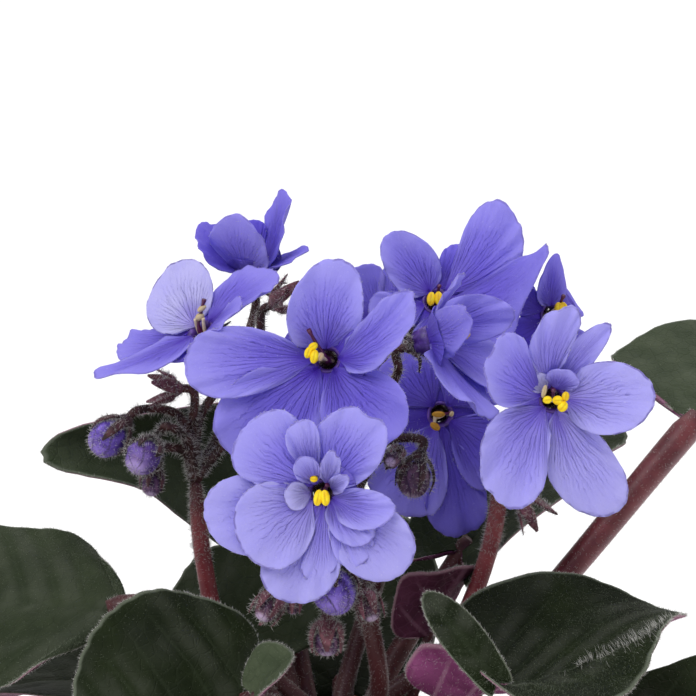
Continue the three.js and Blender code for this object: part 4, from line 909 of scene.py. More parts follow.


# anthers is the middle of the two anthers and their turn, style the pistil's tip, deep how
# dark the petals are, partly their own deeper violet and partly painted shade, where less than 0 paints
# them paler as if brightly lit, and ripe how yellow the pollen is, where the dull brown between
# cream and yellow also stands for anthers in shade. A petal has its angle from the flower's right,
# length, width, tilt, bend and cup, and then what is its own.
BLOOMS = {
    "a": dict(seat=Seat((-17.5, 16, 191.3), -10, 72), anthers=(0, 0.5, 4.2, 0), style=(0.8, 3, 5.4),
              deep=0.5, ripe=0.4, petals=[
        (181, 13, 13, 43, 10, 2, dict(widest=0.75, sway=0.02, twist=-5, deep=0.7)),
        (251, 15, 14, 67, 22, -5, dict(widest=1.3, sway=-0.18, twist=10, deep=0.15)),
        (26, 16.5, 11.5, 61, 11, 15, dict(widest=0.9, sway=-0.14, twist=-2)),
        (353, 11, 8, 30, -3, 14, dict(widest=0.95, sway=-0.04, twist=-3)),
        (89, 9.5, 6, 53, 11, 20, dict(widest=0.4, sway=-0.02, twist=-7, deep=0.8))]),
    "b": dict(seat=Seat((-27, -8, 183), -50, 55), anthers=(0.6, 0.8, 2.9, 20), style=(1.4, 3.6, 5.2),
              deep=0.35, ripe=0.05, petals=[
        (76, 16.5, 15, 11, -14, 13, dict(widest=0.7, sway=0.08, deep=0.35)),
        (163, 13.5, 15, 44, -6, -2, dict(widest=0.95, sway=0.28, deep=-1)),
        (204, 20, 10, -9, 8, -8, dict(widest=0.35, sway=0.14)),
        (259, 19.5, 10, 9, 9, -4, dict(widest=1.2, sway=0.2, point=0.03)), (5, 12, 11, 30, -12, 20)]),
    "c": dict(seat=Seat((-2, -18, 179), -4, 14), anthers=(-2.4, 0.9, 4.6, -38), style=(-3.2, 5.2, 6),
              deep=0.12, ripe=1, petals=[
        (96, 19, 15.5, 42, -18, 36, dict(widest=1.05, sway=0.18, deep=-0.12)),
        (5, 21, 11.5, 45, -11, 30, dict(widest=0.7, sway=-0.4)),
        (183, 25.5, 14, 25, -30, 19, dict(widest=0.6, sway=-0.02)),
        (228, 24.5, 19, 24, -39, 17, dict(widest=0.7, sway=0.02, deep=0.3)),
        (305, 20.5, 17, 33, -15, 26, dict(widest=0.65, sway=-0.05, deep=0.42))]),
    "d": dict(seat=Seat((-2.9, -36, 156.7), -3, 8), anthers=(0, -0.7, 4.6, 10), style=(1.2, 1.9, 2.8),
              deep=-0.1, ripe=0.95, petals=[
        (138, 17, 15, 19, -18, 16), (63, 16.5, 13.5, 22, -24, 17, dict(widest=0.95, sway=0.06, notch=0.08)),
        (200, 20, 15.5, 10, -10, 10, dict(widest=0.75, sway=0.1, deep=-0.35)),
        (256, 19, 14.5, 8, -5, 9, dict(widest=0.7, sway=0.06, deep=-0.42)),
        (318, 19, 14, 13, -12, 15, dict(widest=0.75, sway=-0.02, deep=-0.42)),
        (211, 16, 16, 25, -21, 9, dict(widest=0.8, sway=-0.06, deep=-0.42)),
        (275, 14, 7, 17, -22, 9, dict(widest=0.5, sway=0.16, deep=-0.2)),
        (336, 12.5, 8, 31, -19, 17, dict(widest=0.85, sway=-0.2)),
        (315, 11, 7.5, 29, -24, 15, dict(widest=0.9, sway=-0.04)),
        (111, 13, 6.5, 32, -25, 20, dict(widest=0.4, sway=0.08, deep=-0.2)),
        (184, 5.5, 5.5, 44, -25, 24, dict(widest=0.7, sway=-0.02, deep=-0.75)),
        (67, 10.5, 4, 56, -11, 24, dict(widest=0.85, sway=-0.08, deep=-0.45)),
        (305, 13, 8, 19, -18, 14, dict(widest=0.5, sway=0.06)),
        (29, 8, 3.5, 65, -14, 29, dict(widest=1.1, sway=-0.1, deep=-0.4)),
        (118, 8, 5, 58, -30, 30, dict(deep=-0.2))]),
    "e": dict(seat=Seat((20.2, 21, 184.2), -4, 26), anthers=(-0.3, -0.9, 4.8, 10), style=(0.9, 1.9, 4.8),
              deep=0.25, ripe=0.8, petals=[
        (126, 15, 11, 28, -9, 20, dict(widest=1.15, sway=-0.04, deep=0.1)), (200, 12, 11, 4, -14, 12),
        (40, 22.5, 15, 3, -5, -23, dict(widest=0.5, sway=-0.24)),
        (-18, 19.5, 23.5, 16, 36, -31, dict(widest=0.5, sway=-0.45, twist=-5, point=0.14, deep=0.45)),
        (270, 13, 13, 0, -10, 12), (68, 12, 6, -5, -10, 11, dict(widest=0.65, deep=0.7))]),
    "f": dict(seat=Seat((44.6, 22, 181), 20, 14), anthers=(0, 1, 4.6, 0), style=(0.4, 3.6, 5.6),
              deep=0.45, ripe=0.75, petals=[
        (94, 9, 6.5, 15, 2, 9, dict(widest=1.5, sway=0.12, point=0.2)),
        (33, 4, 9.5, 2, -18, 19, dict(widest=0.35, sway=-0.24, point=0.08)),
        (150, 12, 9, 5, -16, 12, dict(deep=0.8)), (212, 12.5, 11, 10, -18, 12, dict(deep=0.9)),
        (300, 8.5, 8, 12, -18, 12)]),
    "g": dict(seat=Seat((18.5, -9, 181.5), 72, 22), anthers=(0, -0.3, 6.2, 0), style=(0.6, 2.2, 6.5),
              deep=0.25, ripe=0.8, petals=[
        (93, 13.5, 5, 48, 12, 12, dict(sway=0.04, twist=-7, deep=0.1)),
        (8, 16, 10, 59, 4, 8, dict(widest=1, sway=0.24, twist=-7)),
        (171, 14, 9.5, 56, 2, 8, dict(widest=1.35, sway=0.18, twist=-10)),
        (241, 20, 17.5, 20, 10, 6, dict(widest=0.8, sway=0.02, twist=10)),
        (303, 14, 15.5, 39, -11, 24, dict(widest=0.45, sway=0.08))]),
    "h": dict(seat=Seat((21, 12, 162), 2, 6), anthers=(-1.2, -1.2, 4.8, 75), style=(1.9, 0.9, 5.5),
              deep=0.62, ripe=0.5, petals=[
        (280, 23.5, 13, 4, -14, 18), (244, 20, 16.5, 8, -14, 12, dict(deep=0.35)),
        (325, 17, 17, 8, -14, 12), (128, 14, 16, 18, -14, 14), (52, 14, 17, 18, -14, 14)]),
    "i": dict(seat=Seat((41.2, -22, 172), 4, 10), anthers=(0.6, -0.6, 4.8, -20), style=(-0.6, 1.8, 5.4),
              deep=-0.25, ripe=1, petals=[
        (158, 16, 13.5, 41, -15, 23, dict(widest=0.45, sway=0.2, deep=0)),
        (103, 16.5, 9.5, 31, -6, 18, dict(widest=0.5, sway=0.3)),
        (63, 16, 6, 23, -9, 26, dict(widest=1.15, sway=0.16)),
        (0, 18, 14, 33, -12, 17, dict(widest=1, sway=-0.02, deep=-0.55)),
        (288, 22.5, 13.5, 10, -17, 6, dict(widest=0.75, sway=-0.16, deep=-0.55)),
        (225, 22.5, 15.5, 32, -7, 23, dict(widest=0.65, sway=-0.18)),
        (69, 5.5, 6.5, 57, -22, 18, dict(widest=0.7, sway=0.08, deep=0)),
        (133, 4.5, 4.2, 50, -40, 30, dict(deep=-0.9))]),
    "j": dict(seat=Seat((9.5, 34, 176), 176, 20), anthers=(0, -0.7, 4.8, 0), style=(0.9, 2.6, 7.2),
              deep=0.2, ripe=0.9, petals=[
        (62, 13, 12, 18, -12, 18), (118, 13, 12, 18, -12, 18), (196, 16, 14, 10, -20, 10),
        (268, 18, 16, 8, -22, 10), (338, 16, 14, 10, -20, 10)]),
}
# A bud's place, yaw and pitch, its radius, how violet it is, how wide its sepals are and how high
# they reach, both as parts of its radius, and how rosy they are.
BUD_ROWS = [
    ("left_open", (-46, -4, 160.3), -75, -42, 3.6, 0.9, 0.55, 1.35, 0.1),
    ("left_round", (-38.5, -10, 157.8), -25, -28, 3.4, 0.6, 0.6, 1.3, 0),
    ("left_small", (-37.2, -5, 151), -10, -60, 2, 0.15, 0.8, 1.6, 0.2),
    ("middle", (14.9, -15.5, 154.6), -50, -72, 3.2, 0.1, 0.5, 1.75, 0),
    ("middle_small", (10.6, -19, 159.4), -15, -8, 1.7, 0.05, 0.8, 1.9, 0.5),
    ("low_left", (-13.4, -34, 133.6), -35, -35, 2.2, 0.05, 1.15, 2.1, 1),
    ("low_tiny", (-8.5, -31, 133.3), -10, -75, 1.3, 0.05, 1.2, 2.1, 1),
    ("low_violet", (-0.5, -34, 137), 10, -52, 4, 1, 0.6, 1.3, 0.2),
    ("low_pink", (-2, -31, 126.5), 0, -65, 2.6, 0.15, 1.4, 2.05, 1),
    ("low_right", (6.2, -31, 132.6), 20, -45, 2, 0.05, 1.2, 2.2, 1),
]
BUDS = {name: dict(seat=Seat(at, yaw, pitch), size=size, violet=violet, sepal=sepal, cover=cover, rosy=rosy)
        for name, at, yaw, pitch, size, violet, sepal, cover, rosy in BUD_ROWS}
# trunk is the peduncle's path from the crown to its fork, and rosy how much of its middle
# shows lit red rather than the dark maroon painted for shade. blooms and buds give the points that
# each pedicel passes on its way from the fork, and spent the seats and paths of calyxes without a
# flower.
STALKS = {
    "stalk_left": dict(
        rosy=1,
        trunk=[(-3, 0, 95), (-5.5, -0.5, 102), (-13, 0, 109), (-24, 3, 119), (-27.5, 3.5, 133),
               (-29, 2, 151)],
        blooms=dict(a=[(-24, 6, 160), (-20, 10, 174)], b=[(-28, 4, 163), (-21, 0, 174)],
                    c=[(-21, 2, 160), (-10, -5, 171)]),
        buds=dict(left_open=[(-32, 1, 164)], left_round=[(-30.5, -2, 160), (-34, -7, 163.5)],
                  left_small=[(-31, 0, 157), (-36, -3, 158)]),
        spent=[(Seat((-33.5, -1, 170), -80, 5), [(-29.5, 2, 161), (-28.8, 0.5, 168)]),
               (Seat((-12, 9, 186), 70, 30), [(-22, 7, 162), (-16, 9, 174)])]),
    "stalk_front": dict(
        rosy=0.15,
        trunk=[(0.5, -3, 95), (2, -6, 102), (8, -18, 112), (7, -22, 124), (4, -22, 135)],
        blooms=dict(d=[(3, -22, 147)]),
        buds=dict(middle=[(3, -18, 147), (5, -15, 156), (10, -13, 161.8)],
                  middle_small=[(3, -16, 149), (7, -13, 157)], low_left=[(-2, -24, 139), (-8, -29, 140)],
                  low_tiny=[(-1, -24, 138), (-5, -28, 139.5)], low_violet=[(1, -26, 142)],
                  low_pink=[(4, -25, 133)], low_right=[(6, -25, 137)]),
        spent=[]),
    "stalk_right": dict(
        rosy=1,
        trunk=[(3, 0.5, 95), (6, 1, 102), (14, 2, 108), (22, 1, 115), (27, 1, 125), (31.5, 0, 140),
               (33, -1, 154)],
        blooms=dict(i=[(34, -4, 163)]),
        buds={},
        spent=[(Seat((38.5, 0, 145.5), 50, -45), [(34.5, 1, 152.5), (36.5, 0.5, 150.5)])]),
    "stalk_back": dict(
        rosy=0.1,
        trunk=[(0, 3, 95), (0.5, 6, 102), (3, 13, 110), (9, 23, 127), (13, 26, 146), (14, 26, 156)],
        blooms=dict(e=[(18, 30, 172)], f=[(30, 30, 166), (42, 28, 174)],
                    g=[(7, 12, 160), (9.5, 2, 168), (12, -4.5, 174.5)], h=[(18, 22, 160)], j=[(11, 24, 168)]),
        buds={},
        spent=[]),
}
PEDUNCLE_R = 2.1
PEDUNCLE_SIDES = 16
PEDICEL_R = 0.85
PEDICEL_STRAIGHT = 4.2
TUBE_DEPTH = 3.4
CALYX_DEPTH = 2.4
SEPALS = 5
SEPAL_LENGTH = 6.5
SEPAL_WIDTH = 2.0
SEPAL_THICK = 0.7
SEPAL_HAIR = 1.1
PEDICEL_HAIR = 1.5
BUD_LENGTH = 1.1
FLOWER_SEAT = TUBE_DEPTH + 0.3
STYLE_R = 0.33
OVARY_R = 1.2

f = peduncle_finish = Finish("peduncle_skin")
tone = f.mottled(9, 3, (0.13, 0.016, 0.022), (0.24, 0.050, 0.055))
# Painted shade: the peduncle shows its lit red only along a band of its length and as far as its stalk's
# share allows; elsewhere it is nearly black maroon, which stands for shade.
red = f.fade(f.mark("along"), 0.45, 0.65) * f.fade(f.mark("along"), 1.0, 0.86)
tone = f.mix(red * f.mark("rosy"), (0.045, 0.009, 0.011), tone)
f.set(Base_Color=tone, Roughness=0.42, Sheen_Weight=0.1, Sheen_Roughness=0.4, Specular_IOR_Level=0.35)
f.set(Normal=f.bump(f.noise(0.7, 4), 0.08))
f = pedicel_finish = Finish("pedicel_skin")
tone = f.mottled(3, 3, (0.020, 0.007, 0.007), (0.075, 0.024, 0.024))
f.set(Base_Color=tone, Roughness=0.45, Specular_IOR_Level=0.3, Normal=f.bump(f.noise(0.5, 4), 0.06))
f = sepal_finish = Finish("sepal_skin")
tone = f.mottled(2, 3, (0.016, 0.006, 0.008), (0.060, 0.018, 0.024))
rosy = f.mottled(2, 3, (0.075, 0.020, 0.030), (0.230, 0.085, 0.110))
f.set(Base_Color=f.mix(f.mark("rosy"), tone, rosy), Roughness=0.5, Sheen_Weight=0.1)
f.set(Specular_IOR_Level=0.3, Normal=f.bump(f.noise(0.5, 4), 0.10))
f = style_finish = Finish("style")
f.set(Base_Color=f.mix(f.noise(1.5), (0.045, 0.004, 0.030), (0.110, 0.012, 0.060)), Roughness=0.3)


def add_calyx(piece, seat, depth, middle, tip, rng, width=SEPAL_WIDTH, rosy=0.0):
    """A small cup with five pointed sepals. middle and tip are [radius, rise] from the cup's face."""
    wall = [(PEDICEL_R, CALYX_DEPTH), (1.5, 1.6), (1.9, 0.7), (1.5, 0)]
    cup = Stem(seat.place([(0, 0, -depth - z) for _, z in wall]), [r for r, _ in wall], sides=14)
    piece.add(*cup.solid(), sepal_finish, rosy=rosy)
    piece.add(*cup.hairs(rng, 4, SEPAL_HAIR, COARSE_HAIR_R), hair)
    for k in range(SEPALS):
        angle = math.radians(90 + 360 / SEPALS * k + rng.uniform(-7, 7))
        way = np.array([math.cos(angle), math.sin(angle)])
        bow = rng.uniform(0.95, 1.08)
        stops = [(0.8, -0.9), (2.0, -0.6), (middle[0] * bow, middle[1]), (tip[0] * bow, tip[1])]
        path = smooth_path([(*(way * r), z - depth) for r, z in stops], 5)
        share = np.linspace(0, 1, len(path))
        radii = width / 2 * np.maximum(np.sin(math.pi * (0.22 + 0.72 * share)), 0.08)
        inwards = seat.turned([*(-way), 0.9])
        sepal = Stem(seat.place(path), radii, sides=8, flat=SEPAL_THICK / width, up=inwards)
        piece.add(*sepal.solid(), sepal_finish, rosy=rosy)
        piece.add(*sepal.hairs(rng, 4.5, SEPAL_HAIR, COARSE_HAIR_R, first=0.1), hair)


def add_pedicel(piece, fork, passing, seat, depth, rng):
    """A thin shoot, thicker at the fork, that meets the calyx from straight behind."""
    end = seat.place([0, 0, -depth - CALYX_DEPTH / 2])
    behind = seat.place([0, 0, -depth - PEDICEL_STRAIGHT])
    path = smooth_path([fork, *passing, behind, end], 8)
    gone = np.append(0, np.cumsum(np.linalg.norm(np.diff(path, axis=0), axis=1)))
    shoot = Stem(path, PEDICEL_R * (1.05 + 0.75 * np.exp(-gone / 3.5)), sides=10)
    piece.add(*shoot.solid(), pedicel_finish)
    piece.add(*shoot.hairs(rng, 3.5, PEDICEL_HAIR, COARSE_HAIR_R, first=0.04), hair)


def add_pistil(piece, seat, tip):
    """The ovary, the thin style that rises from it, and the stigma at the tip."""
    x, y, z = tip
    stops = [(0, 0, -FLOWER_SEAT - 1), (0, 0.1, 1), (0.55 * x, 0.5 * y, 0.62 * z), tip]
    path = smooth_path(seat.place(stops), 6)
    radii = np.full(len(path), STYLE_R)
    radii[:6] = np.linspace(OVARY_R, 0.5, 6)
    radii[-2:] = 0.45
    piece.add(*Stem(path, radii, sides=10).solid(), style_finish)


for seed, (name, stalk) in enumerate(STALKS.items()):
    rng = np.random.default_rng(200 + seed)
    piece = Piece(name + "_stalk", [peduncle_finish, sepal_finish, hair, style_finish, pedicel_finish],
                  ("along", "rosy"))
    fork = stalk["trunk"][-1]
    path = smooth_path(stalk["trunk"], 7)
    radii = np.linspace(PEDUNCLE_R, PEDUNCLE_R * 0.8, len(path))
    radii[-3:] *= [0.93, 0.8, 0.55]
    trunk = Stem(path, radii, PEDUNCLE_SIDES)
    along = np.append(np.repeat(np.linspace(0, 1, len(path)), PEDUNCLE_SIDES), [0, 1])
    piece.add(*trunk.solid(), peduncle_finish, along=along, rosy=stalk["rosy"])
    piece.add(*trunk.hairs(rng, 2.5, length=0.6, radius=HAIR_R * 0.7, first=0.1), hair)
    piece.add(*trunk.hairs(rng, 3.5, length=1.2, radius=COARSE_HAIR_R, first=0.8), hair)
    for key, passing in stalk["blooms"].items():
        seat = BLOOMS[key]["seat"]
        add_pedicel(piece, fork, passing, seat, FLOWER_SEAT, rng)
        add_calyx(piece, seat, FLOWER_SEAT, (3.4, 0.6), (SEPAL_LENGTH, 0.2), rng)
        add_pistil(piece, seat, BLOOMS[key]["style"])
    for key, passing in stalk["buds"].items():
        bud = BUDS[key]
        size, clear = bud["size"], bud["size"] + 0.45
        add_pedicel(piece, fork, passing, bud["seat"], size * BUD_LENGTH, rng)
        add_calyx(piece, bud["seat"], size * BUD_LENGTH, (clear, 0.75 * size),
                  (clear * 0.95, bud["cover"] * size), rng, width=bud["sepal"] * size, rosy=bud["rosy"])
    for seat, passing in stalk["spent"]:
        add_pedicel(piece, fork, passing, seat, 0, rng)
        add_calyx(piece, seat, 0, (3.0, 1.8), (4.2, 4.4), rng, width=3.0, rosy=1.0)
    piece.build("stalk", name)


# The buds: petals still rolled up in their calyx, dull maroon while they are young and violet
# where they have begun to open, with paler tips, dark seams where they overlap, and short hairs.
BUD_RINGS = 34
BUD_COLUMNS = 60
BUD_HAIRS = 40
BUD_PETALS = 5
BUD_TWIST = 3.2
BUD_OVERLAP = 0.16

f = bud_finish = Finish("closed_petals")
along = f.mark("along")
young = f.mottled(1.3, 4, (0.045, 0.018, 0.024), (0.160, 0.075, 0.100))
young = f.mix(f.fade(along, 0.85, 1.0) * 0.8, young, (0.60, 0.46, 0.66))
older = f.mottled(1.6, 4, (0.060, 0.026, 0.260), (0.210, 0.130, 0.620))
older = f.mix(f.fade(along, 0.6, 0.9) * 0.4, older, (0.36, 0.26, 0.66))
older = f.mix(f.fade(f.noise(0.5, 2), 0.58, 0.64) * 0.40, older, (0.040, 0.014, 0.130))
tone = f.mix(f.mark("violet"), young, older)
tone = f.mix(f.fade(f.mark("fold"), 0.3, 0.9) * 0.85, tone, (0.022, 0.008, 0.050))
f.set(Base_Color=tone, Roughness=0.5, Specular_IOR_Level=0.3, Normal=f.bump(f.noise(0.4, 4), 0.12))

for seed, (name, bud) in enumerate(BUDS.items()):
    rng = np.random.default_rng(300 + seed)
    seat, size = bud["seat"], bud["size"]
    piece = Piece("bud_" + name + "_petals", [bud_finish, hair], ("along", "fold", "violet"))
    polar = np.linspace(0.001, math.pi - 0.001, BUD_RINGS)[:, None]
    turn = circle(BUD_COLUMNS)
    rise = np.cos(polar)
    twist = (BUD_PETALS * turn + BUD_TWIST * rise) % (2 * math.pi) / (2 * math.pi)
    swell = 1 + BUD_OVERLAP * (twist - 0.6) * np.sin(polar)
    skin = around(size * np.sin(polar) ** 0.9 * swell, size * BUD_LENGTH * rise, turn)
    poles = [[0, 0, size * BUD_LENGTH], [0, 0, -size * BUD_LENGTH]]
    fold = np.append(np.maximum(1 - np.minimum(twist, 1 - twist) * 7, 0).ravel(), [0, 0])
    along = np.append((0.5 + 0.5 * rise + 0 * turn).ravel(), [1, 0])
    piece.add(seat.place(np.concatenate([skin.reshape(-1, 3), poles])),
              tube_faces(BUD_RINGS, BUD_COLUMNS, flip=True), bud_finish,
              along=along, fold=fold, violet=bud["violet"])
    count = int(BUD_HAIRS * size ** 2)
    out = unit(rng.normal(size=(count, 3)))
    roots = seat.place(out * [size, size, size * BUD_LENGTH])
    lengths = rng.uniform(0.4, 1.2, count)
    piece.add(*hair_shapes(roots, leaning(seat.turned(out), rng, 0.3), lengths, HAIR_R * 1.1), hair)
    piece.build("bud", "bud_" + name)


# The corollas: five or more soft petals, periwinkle blue with a paler rim and a deep violet throat,
# grown together into a short tube. Fine veins fan out over them, the cells of their skin stand up a
# little, and pale specks of painted glint stand for their glitter.
TUBE_HOLE_R = 1.9
TUBE_R = 2.8
TUBE_SIDES = 28
LIMB_SIDES = 72
PETAL_ROOT_R = 2.1
PETAL_THICK = 0.45
PETAL_RINGS = 18
PETAL_SPOKES = 44
LONG_PETAL = 8.5
LIMB_SHARE = 0.40
LIMB_REACH = 7.5
HAIRY_PETAL = 8
PETAL_HAIR = 0.5
FRINGE_PER_AREA = 0.35
FUZZ_PER_AREA = 0.45
# The cut of the limb, out along the top and back below: the share of its reach, and how far it sinks.
LIMB_CUT = np.array([(0, 0.35), (0.35, 0.35), (0.7, 0.4), (1, 0.5), (1, 0.75), (0.7, 0.8), (0.35, 0.8),
                     (0, 0.8), (0, 0.35)])
# The cut of the tube, up the outside and down the inside: radius and rise.
TUBE_CUT = np.array([(TUBE_HOLE_R, -TUBE_DEPTH), (TUBE_R - 0.4, -TUBE_DEPTH), (TUBE_R - 0.1, -1.4),
                     (TUBE_R, 0.2), (TUBE_HOLE_R + 0.5, 0.3), (TUBE_HOLE_R + 0.1, -0.4),
                     (TUBE_HOLE_R, -1.6), (TUBE_HOLE_R, -TUBE_DEPTH)])

f = petal_finish = Finish("petal_skin")
edge, fan, depth = f.mark("edge"), f.mark("fan"), f.mark("deep")
outwards = edge + f.noise(5, 2) * 0.16
# Painted light and shade: light is the lit tone, shady a darker copy for petals painted in shade, and the
# copy below a paler one for petals painted as brightly lit. The bloom's and petal's value picks between them,
# and partly also stands for a deeper or paler violet of their own.
light = f.mix(f.fade(outwards, 0.03, 0.40), (0.130, 0.036, 0.800), (0.285, 0.225, 0.900))
light = f.mix(f.fade(outwards, 0.50, 1.10), light, (0.470, 0.430, 0.960))
shady = f.mix(f.fade(outwards, 0.05, 0.55), (0.034, 0.008, 0.320), (0.085, 0.042, 0.580))
shady = f.mix(f.fade(outwards, 0.60, 1.10), shady, (0.160, 0.105, 0.760))
brightly_lit = f.mix(f.fade(outwards, 0.05, 0.6), (0.460, 0.380, 0.920), (0.620, 0.595, 0.950))
tone = f.mix(depth, light, shady)
tone = f.mix(depth * -1.0, tone, brightly_lit)
grain = f.fade(f.noise(6, 4, 0.6), 0.3, 0.75)
tone = f.mix(grain * 0.20, tone, f.mix(depth, (0.36, 0.32, 0.95), (0.14, 0.10, 0.70)))
vein = f.off_half(fan * 6.5 + f.noise(5, 3) * 1.6)
vein = f.fade(vein, 0.12, 0.0) * f.fade(edge, 0.95, 0.35)
twig = f.off_half(fan * 15.0 + f.noise(3, 3) * 2.4)
twig = f.fade(twig, 0.16, 0.0) * (f.fade(edge, 1.0, 0.6) * f.fade(edge, 0.2, 0.45))
# Painted shade: darker violet near the base of one side of each petal, as shade between the petals.
base_shade = f.fade(fan * 3.0 + f.noise(7, 2) * 1.2, 0.5, 0.9)
dark = f.mix(depth, (0.075, 0.020, 0.600), (0.026, 0.006, 0.200))
clear = 0.24 - abs(depth) * 0.16
tone = f.mix(vein * clear, tone, dark)
tone = f.mix(twig * 0.5 * clear, tone, dark)
tone = f.mix(base_shade * f.fade(edge, 0.6, 0.1) * 0.38, tone, dark)
# Painted highlights: tiny pale specks stand for glints of light off the petal's cells.
painted_glints = f.fade(f.noise(0.35, 1), 0.66, 0.76)
tone = f.mix(painted_glints * (0.28 - depth * 0.2), tone, (0.72, 0.70, 0.98))
rim = f.fade(edge, 0.978, 0.996) * f.fade(f.noise(2.5, 2), 0.42, 0.60)
tone = f.mix(rim * (0.42 - depth * 0.3), tone, (0.070, 0.030, 0.300))
tone = f.mix(f.fade(f.mark("under"), 0.4, 0.6) * 0.30, tone, (0.36, 0.30, 0.80))
f.set(Base_Color=tone, Roughness=0.5, Sheen_Weight=0.05, Sheen_Roughness=0.35, Sheen_Tint=(0.65, 0.6, 1.0))
relief = f.bump(vein + twig * 0.5, -0.16, f.bump(f.noise(4, 2), 0.5))
f.set(Normal=f.bump(f.cells(0.32), 0.05, relief), Specular_IOR_Level=0.15)
f.glow_through(0.32, tone)

f = throat_finish = Finish("throat")
f.set(Base_Color=f.mottled(1.2, 3, (0.045, 0.015, 0.16), (0.12, 0.05, 0.34)), Roughness=0.4)
f.set(Normal=f.bump(f.noise(0.4, 4), 0.08))


def limb(petals):
    """The flared mouth of a tube, where the petals are grown together: a thin ring that rises with
    the petals next to it. Its last row of points repeats the first."""
    turn = circle(LIMB_SIDES)
    long = [petal for petal in petals if petal[1] > LONG_PETAL]
    away = turn[:, None] - np.radians([petal[0] for petal in long])[None, :]
    weight = np.exp(12 * (np.cos(away) - 1))
    weight /= weight.sum(1, keepdims=True)
    slope = weight @ np.radians([petal[3] for petal in long])
    reach = np.minimum(weight @ np.array([petal[1] for petal in long]) * LIMB_SHARE, LIMB_REACH)
    share, sunk = LIMB_CUT[:, :1], LIMB_CUT[:, 1:]
    rise = share * (reach * np.sin(slope) - 0.7) - sunk + 0.25
    skin = around(TUBE_R - 0.6 + share * reach * np.cos(slope), rise, turn)
    edge = (0.03 + 0.34 * share + 0 * turn).ravel()
    fan = (np.sin(2.5 * turn) + 0 * share).ravel()
    return skin.reshape(-1, 3), [grid_faces(len(share), LIMB_SIDES, closed=True)], edge, fan


tube = around(TUBE_CUT[:, :1], TUBE_CUT[:, 1:], circle(TUBE_SIDES)).reshape(-1, 3)
for seed, (key, bloom) in enumerate(BLOOMS.items()):
    seat = bloom["seat"]
    rng = np.random.default_rng(400 + seed)
    piece = Piece("bloom_" + key + "_petals", [petal_finish, throat_finish, hair],
                  ("edge", "fan", "under", "deep"))
    piece.add(seat.place(tube), [grid_faces(len(TUBE_CUT), TUBE_SIDES, closed=True)], throat_finish)
    places, faces, edge, fan = limb(bloom["petals"])
    piece.add(seat.place(places), faces, petal_finish, edge=edge, fan=fan, deep=bloom["deep"])
    for k, (angle, length, width, tilt, bend, cup, *own) in enumerate(bloom["petals"]):
        shape = dict(widest=0.55, reach=0.82, length=length, width=width, tilt=tilt, bend=bend, cup=cup,
                     wave=0.022 * length, phase=1.7 * k, ruffle=0.03 * length, seed=50 * seed + k,
                     scallop=0.012, scallops=7, deep=bloom["deep"], twist=0)
        for more in own:
            shape.update(more)
        deep = shape.pop("deep")
        twist = math.radians(shape.pop("twist"))
        out = heading(angle, 0)
        top = np.array([0, 0, math.cos(twist)]) + np.cross(out, [0, 0, 1]) * math.sin(twist)
        blade = Blade(seat.place(out * PETAL_ROOT_R), seat.turned(out), seat.turned(top), **shape)
        places, faces, marks = blade.solid(PETAL_THICK, PETAL_RINGS, PETAL_SPOKES, start=0.02)
        piece.add(places, faces, petal_finish, deep=deep, **marks)
        if length > HAIRY_PETAL:
            fringe, fuzz = int(length * width * FRINGE_PER_AREA), int(length * width * FUZZ_PER_AREA)
            piece.add(*edge_hairs(blade, rng, fringe, PETAL_HAIR), hair)
            piece.add(*blade_hairs(blade, rng, fuzz, PETAL_HAIR, face=-1), hair)
    piece.build("petal", f"bloom_{key}_corolla")


# The stamens: two bright yellow anthers, each of two lobes full of pollen with a slit along them,
# on cream filaments that rise from the tube. They are cream before they ripen and dull when old, and
# the same dull brown is painted on the anthers of a flower in shade.
FILAMENT_R = 0.36
LOBE_ROWS = 16
LOBE_COLUMNS = 24
SLIT_DEPTH = 0.16
LOBE_LONG = 1.15
LOBE_WIDE = 0.8
LOBE_SPLAY = 20
ANTHER_APART = 1.2
LOBE_APART = 0.6
# A lobe is its middle, half its length and width, how far it is turned from the flower's right and,
# where it differs from its flower, how ripe it is.
LOBES = dict(
    b=[(0.6, 1.1, 2.6, 0.95, 0.8, 60), (1.1, 2.2, 3.9, 1.0, 0.6, 70)],
    c=[(-2.4, 2.1, 4.6, 0.95, 0.75, 30), (-3.3, 0.9, 4.6, 1.15, 0.75, 72), (-2.1, 0.1, 5.0, 1.35, 0.85, 80),
       (-1.0, 0.1, 4.7, 0.9, 0.75, 60, 0.1)],
    d=[(-0.4, -0.4, 4.6, 1.55, 0.85, 80), (0.9, -0.4, 4.6, 1.5, 0.9, 96), (-1.35, 2.9, 2.4, 0.75, 0.65, 0)],
    e=[(-0.75, -1.0, 4.8, 1.5, 0.9, 86), (0.8, -0.9, 4.8, 1.5, 0.9, 94)],
    f=[(-0.6, 1.1, 4.6, 1.3, 0.85, 80), (0.65, 1.1, 4.6, 1.3, 0.85, 100)],
    g=[(-0.5, -1.5, 6.8, 0.9, 0.65, 90), (0.5, -1.3, 7.0, 0.9, 0.65, 90)],
    h=[(-0.7, 0.5, 4.8, 1.35, 0.65, 0), (-1.4, -2.0, 4.6, 1.15, 0.75, -35),
       (1.9, 0.6, 5.6, 0.6, 0.45, 60, 0.1)],
    i=[(-1.7, -0.1, 4.8, 0.9, 0.75, 10), (0.25, -0.2, 5.0, 1.0, 0.9, 0), (1.8, 0.5, 4.8, 0.95, 0.75, 80, 0.8),
       (1.2, -1.4, 5.0, 1.1, 0.95, 50), (-2.2, 1.5, 4.2, 1.3, 0.5, 75, 0.05)],
)

f = pollen = Finish("yellow_anther")
ripe = f.mark("ripe")
yellow = f.mottled(1.1, 3, (0.94, 0.60, 0.0), (1.0, 0.80, 0.02))
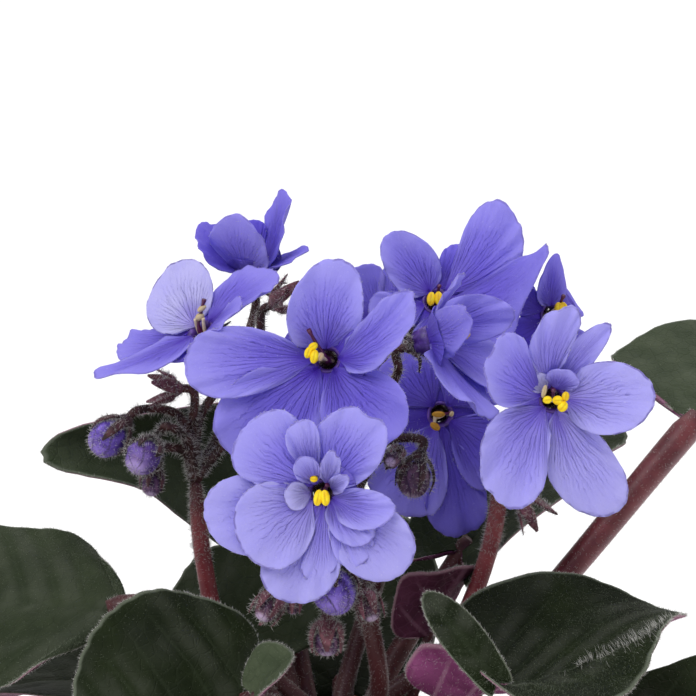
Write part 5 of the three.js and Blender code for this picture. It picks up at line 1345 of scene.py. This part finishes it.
# Painted shade: the dull brown between cream and yellow also stands for anthers that lie in shade.
tone = f.mix(f.fade(ripe, 0.0, 0.5), (0.52, 0.42, 0.26), (0.42, 0.20, 0.015))
tone = f.mix(f.fade(ripe, 0.45, 1.0), tone, yellow)
tone = f.mix(f.mark("slit") * 0.45, tone, (0.30, 0.13, 0.01))
f.set(Base_Color=tone, Roughness=0.5, Specular_IOR_Level=0.3, Normal=f.bump(f.noise(0.35, 4), 0.08))
f = filament = Finish("cream_filament")
f.set(Base_Color=f.mix(f.noise(1.0), (0.42, 0.30, 0.18), (0.72, 0.62, 0.44)), Roughness=0.4)


def anther_lobe(long, wide, spin):
    """A plump lobe with a shallow slit along its upper side, and how near each point is to the slit."""
    polar = np.linspace(0.02, math.pi - 0.02, LOBE_ROWS)
    polar, turn = np.meshgrid(polar, circle(LOBE_COLUMNS), indexing="ij")
    skin = np.stack([np.cos(polar), np.sin(polar) * np.cos(turn), np.sin(polar) * np.sin(turn)], 2)
    skin = np.concatenate([skin.reshape(-1, 3), [[1, 0, 0], [-1, 0, 0]]])
    slit = np.exp(-(skin[:, 1] / 0.2) ** 2) * np.clip(3 * skin[:, 2], 0, 1) * (1 - skin[:, 0] ** 4)
    skin = skin * (1 - SLIT_DEPTH * slit[:, None]) * [long, wide, 0.9 * wide]
    c, s = math.cos(math.radians(spin)), math.sin(math.radians(spin))
    skin = skin @ np.array([[c, s, 0], [-s, c, 0], [0, 0, 1]])
    return skin, tube_faces(LOBE_ROWS, LOBE_COLUMNS, flip=True), slit


for key, bloom in BLOOMS.items():
    seat = bloom["seat"]
    x, y, z, spin = bloom["anthers"]
    across = heading(spin, 0)
    plain = []
    for hand in (-1, 1):
        for half in (-1, 1):
            lobe_x = x + ANTHER_APART * hand * across[0] + LOBE_APART * half * across[1]
            lobe_y = y + ANTHER_APART * hand * across[1] + LOBE_APART * half * across[0]
            plain.append((lobe_x, lobe_y, z, LOBE_LONG, LOBE_WIDE, spin + LOBE_SPLAY * hand))
    piece = Piece("bloom_" + key + "_anthers", [pollen, filament], ("ripe", "slit"))
    for *middle, long, wide, turned, ripe in [(*lobe, bloom["ripe"])[:7] for lobe in LOBES.get(key, plain)]:
        places, faces, slit = anther_lobe(long, wide, turned)
        piece.add(seat.place(places + middle), faces, pollen, ripe=ripe, slit=slit)
    for hand in (-1, 1):
        foot = np.array([hand * 0.9, -0.2, -TUBE_DEPTH + 0.4])
        top = np.array([x, y, z - 0.5]) + across * hand
        path = smooth_path([foot, foot * [1, 1, 0] * 0.8 + top * [0.3, 0.3, 0], top], 6)
        piece.add(*Stem(seat.place(path), FILAMENT_R, sides=10).solid(), filament)
    piece.build("stamen", f"bloom_{key}_stamens")
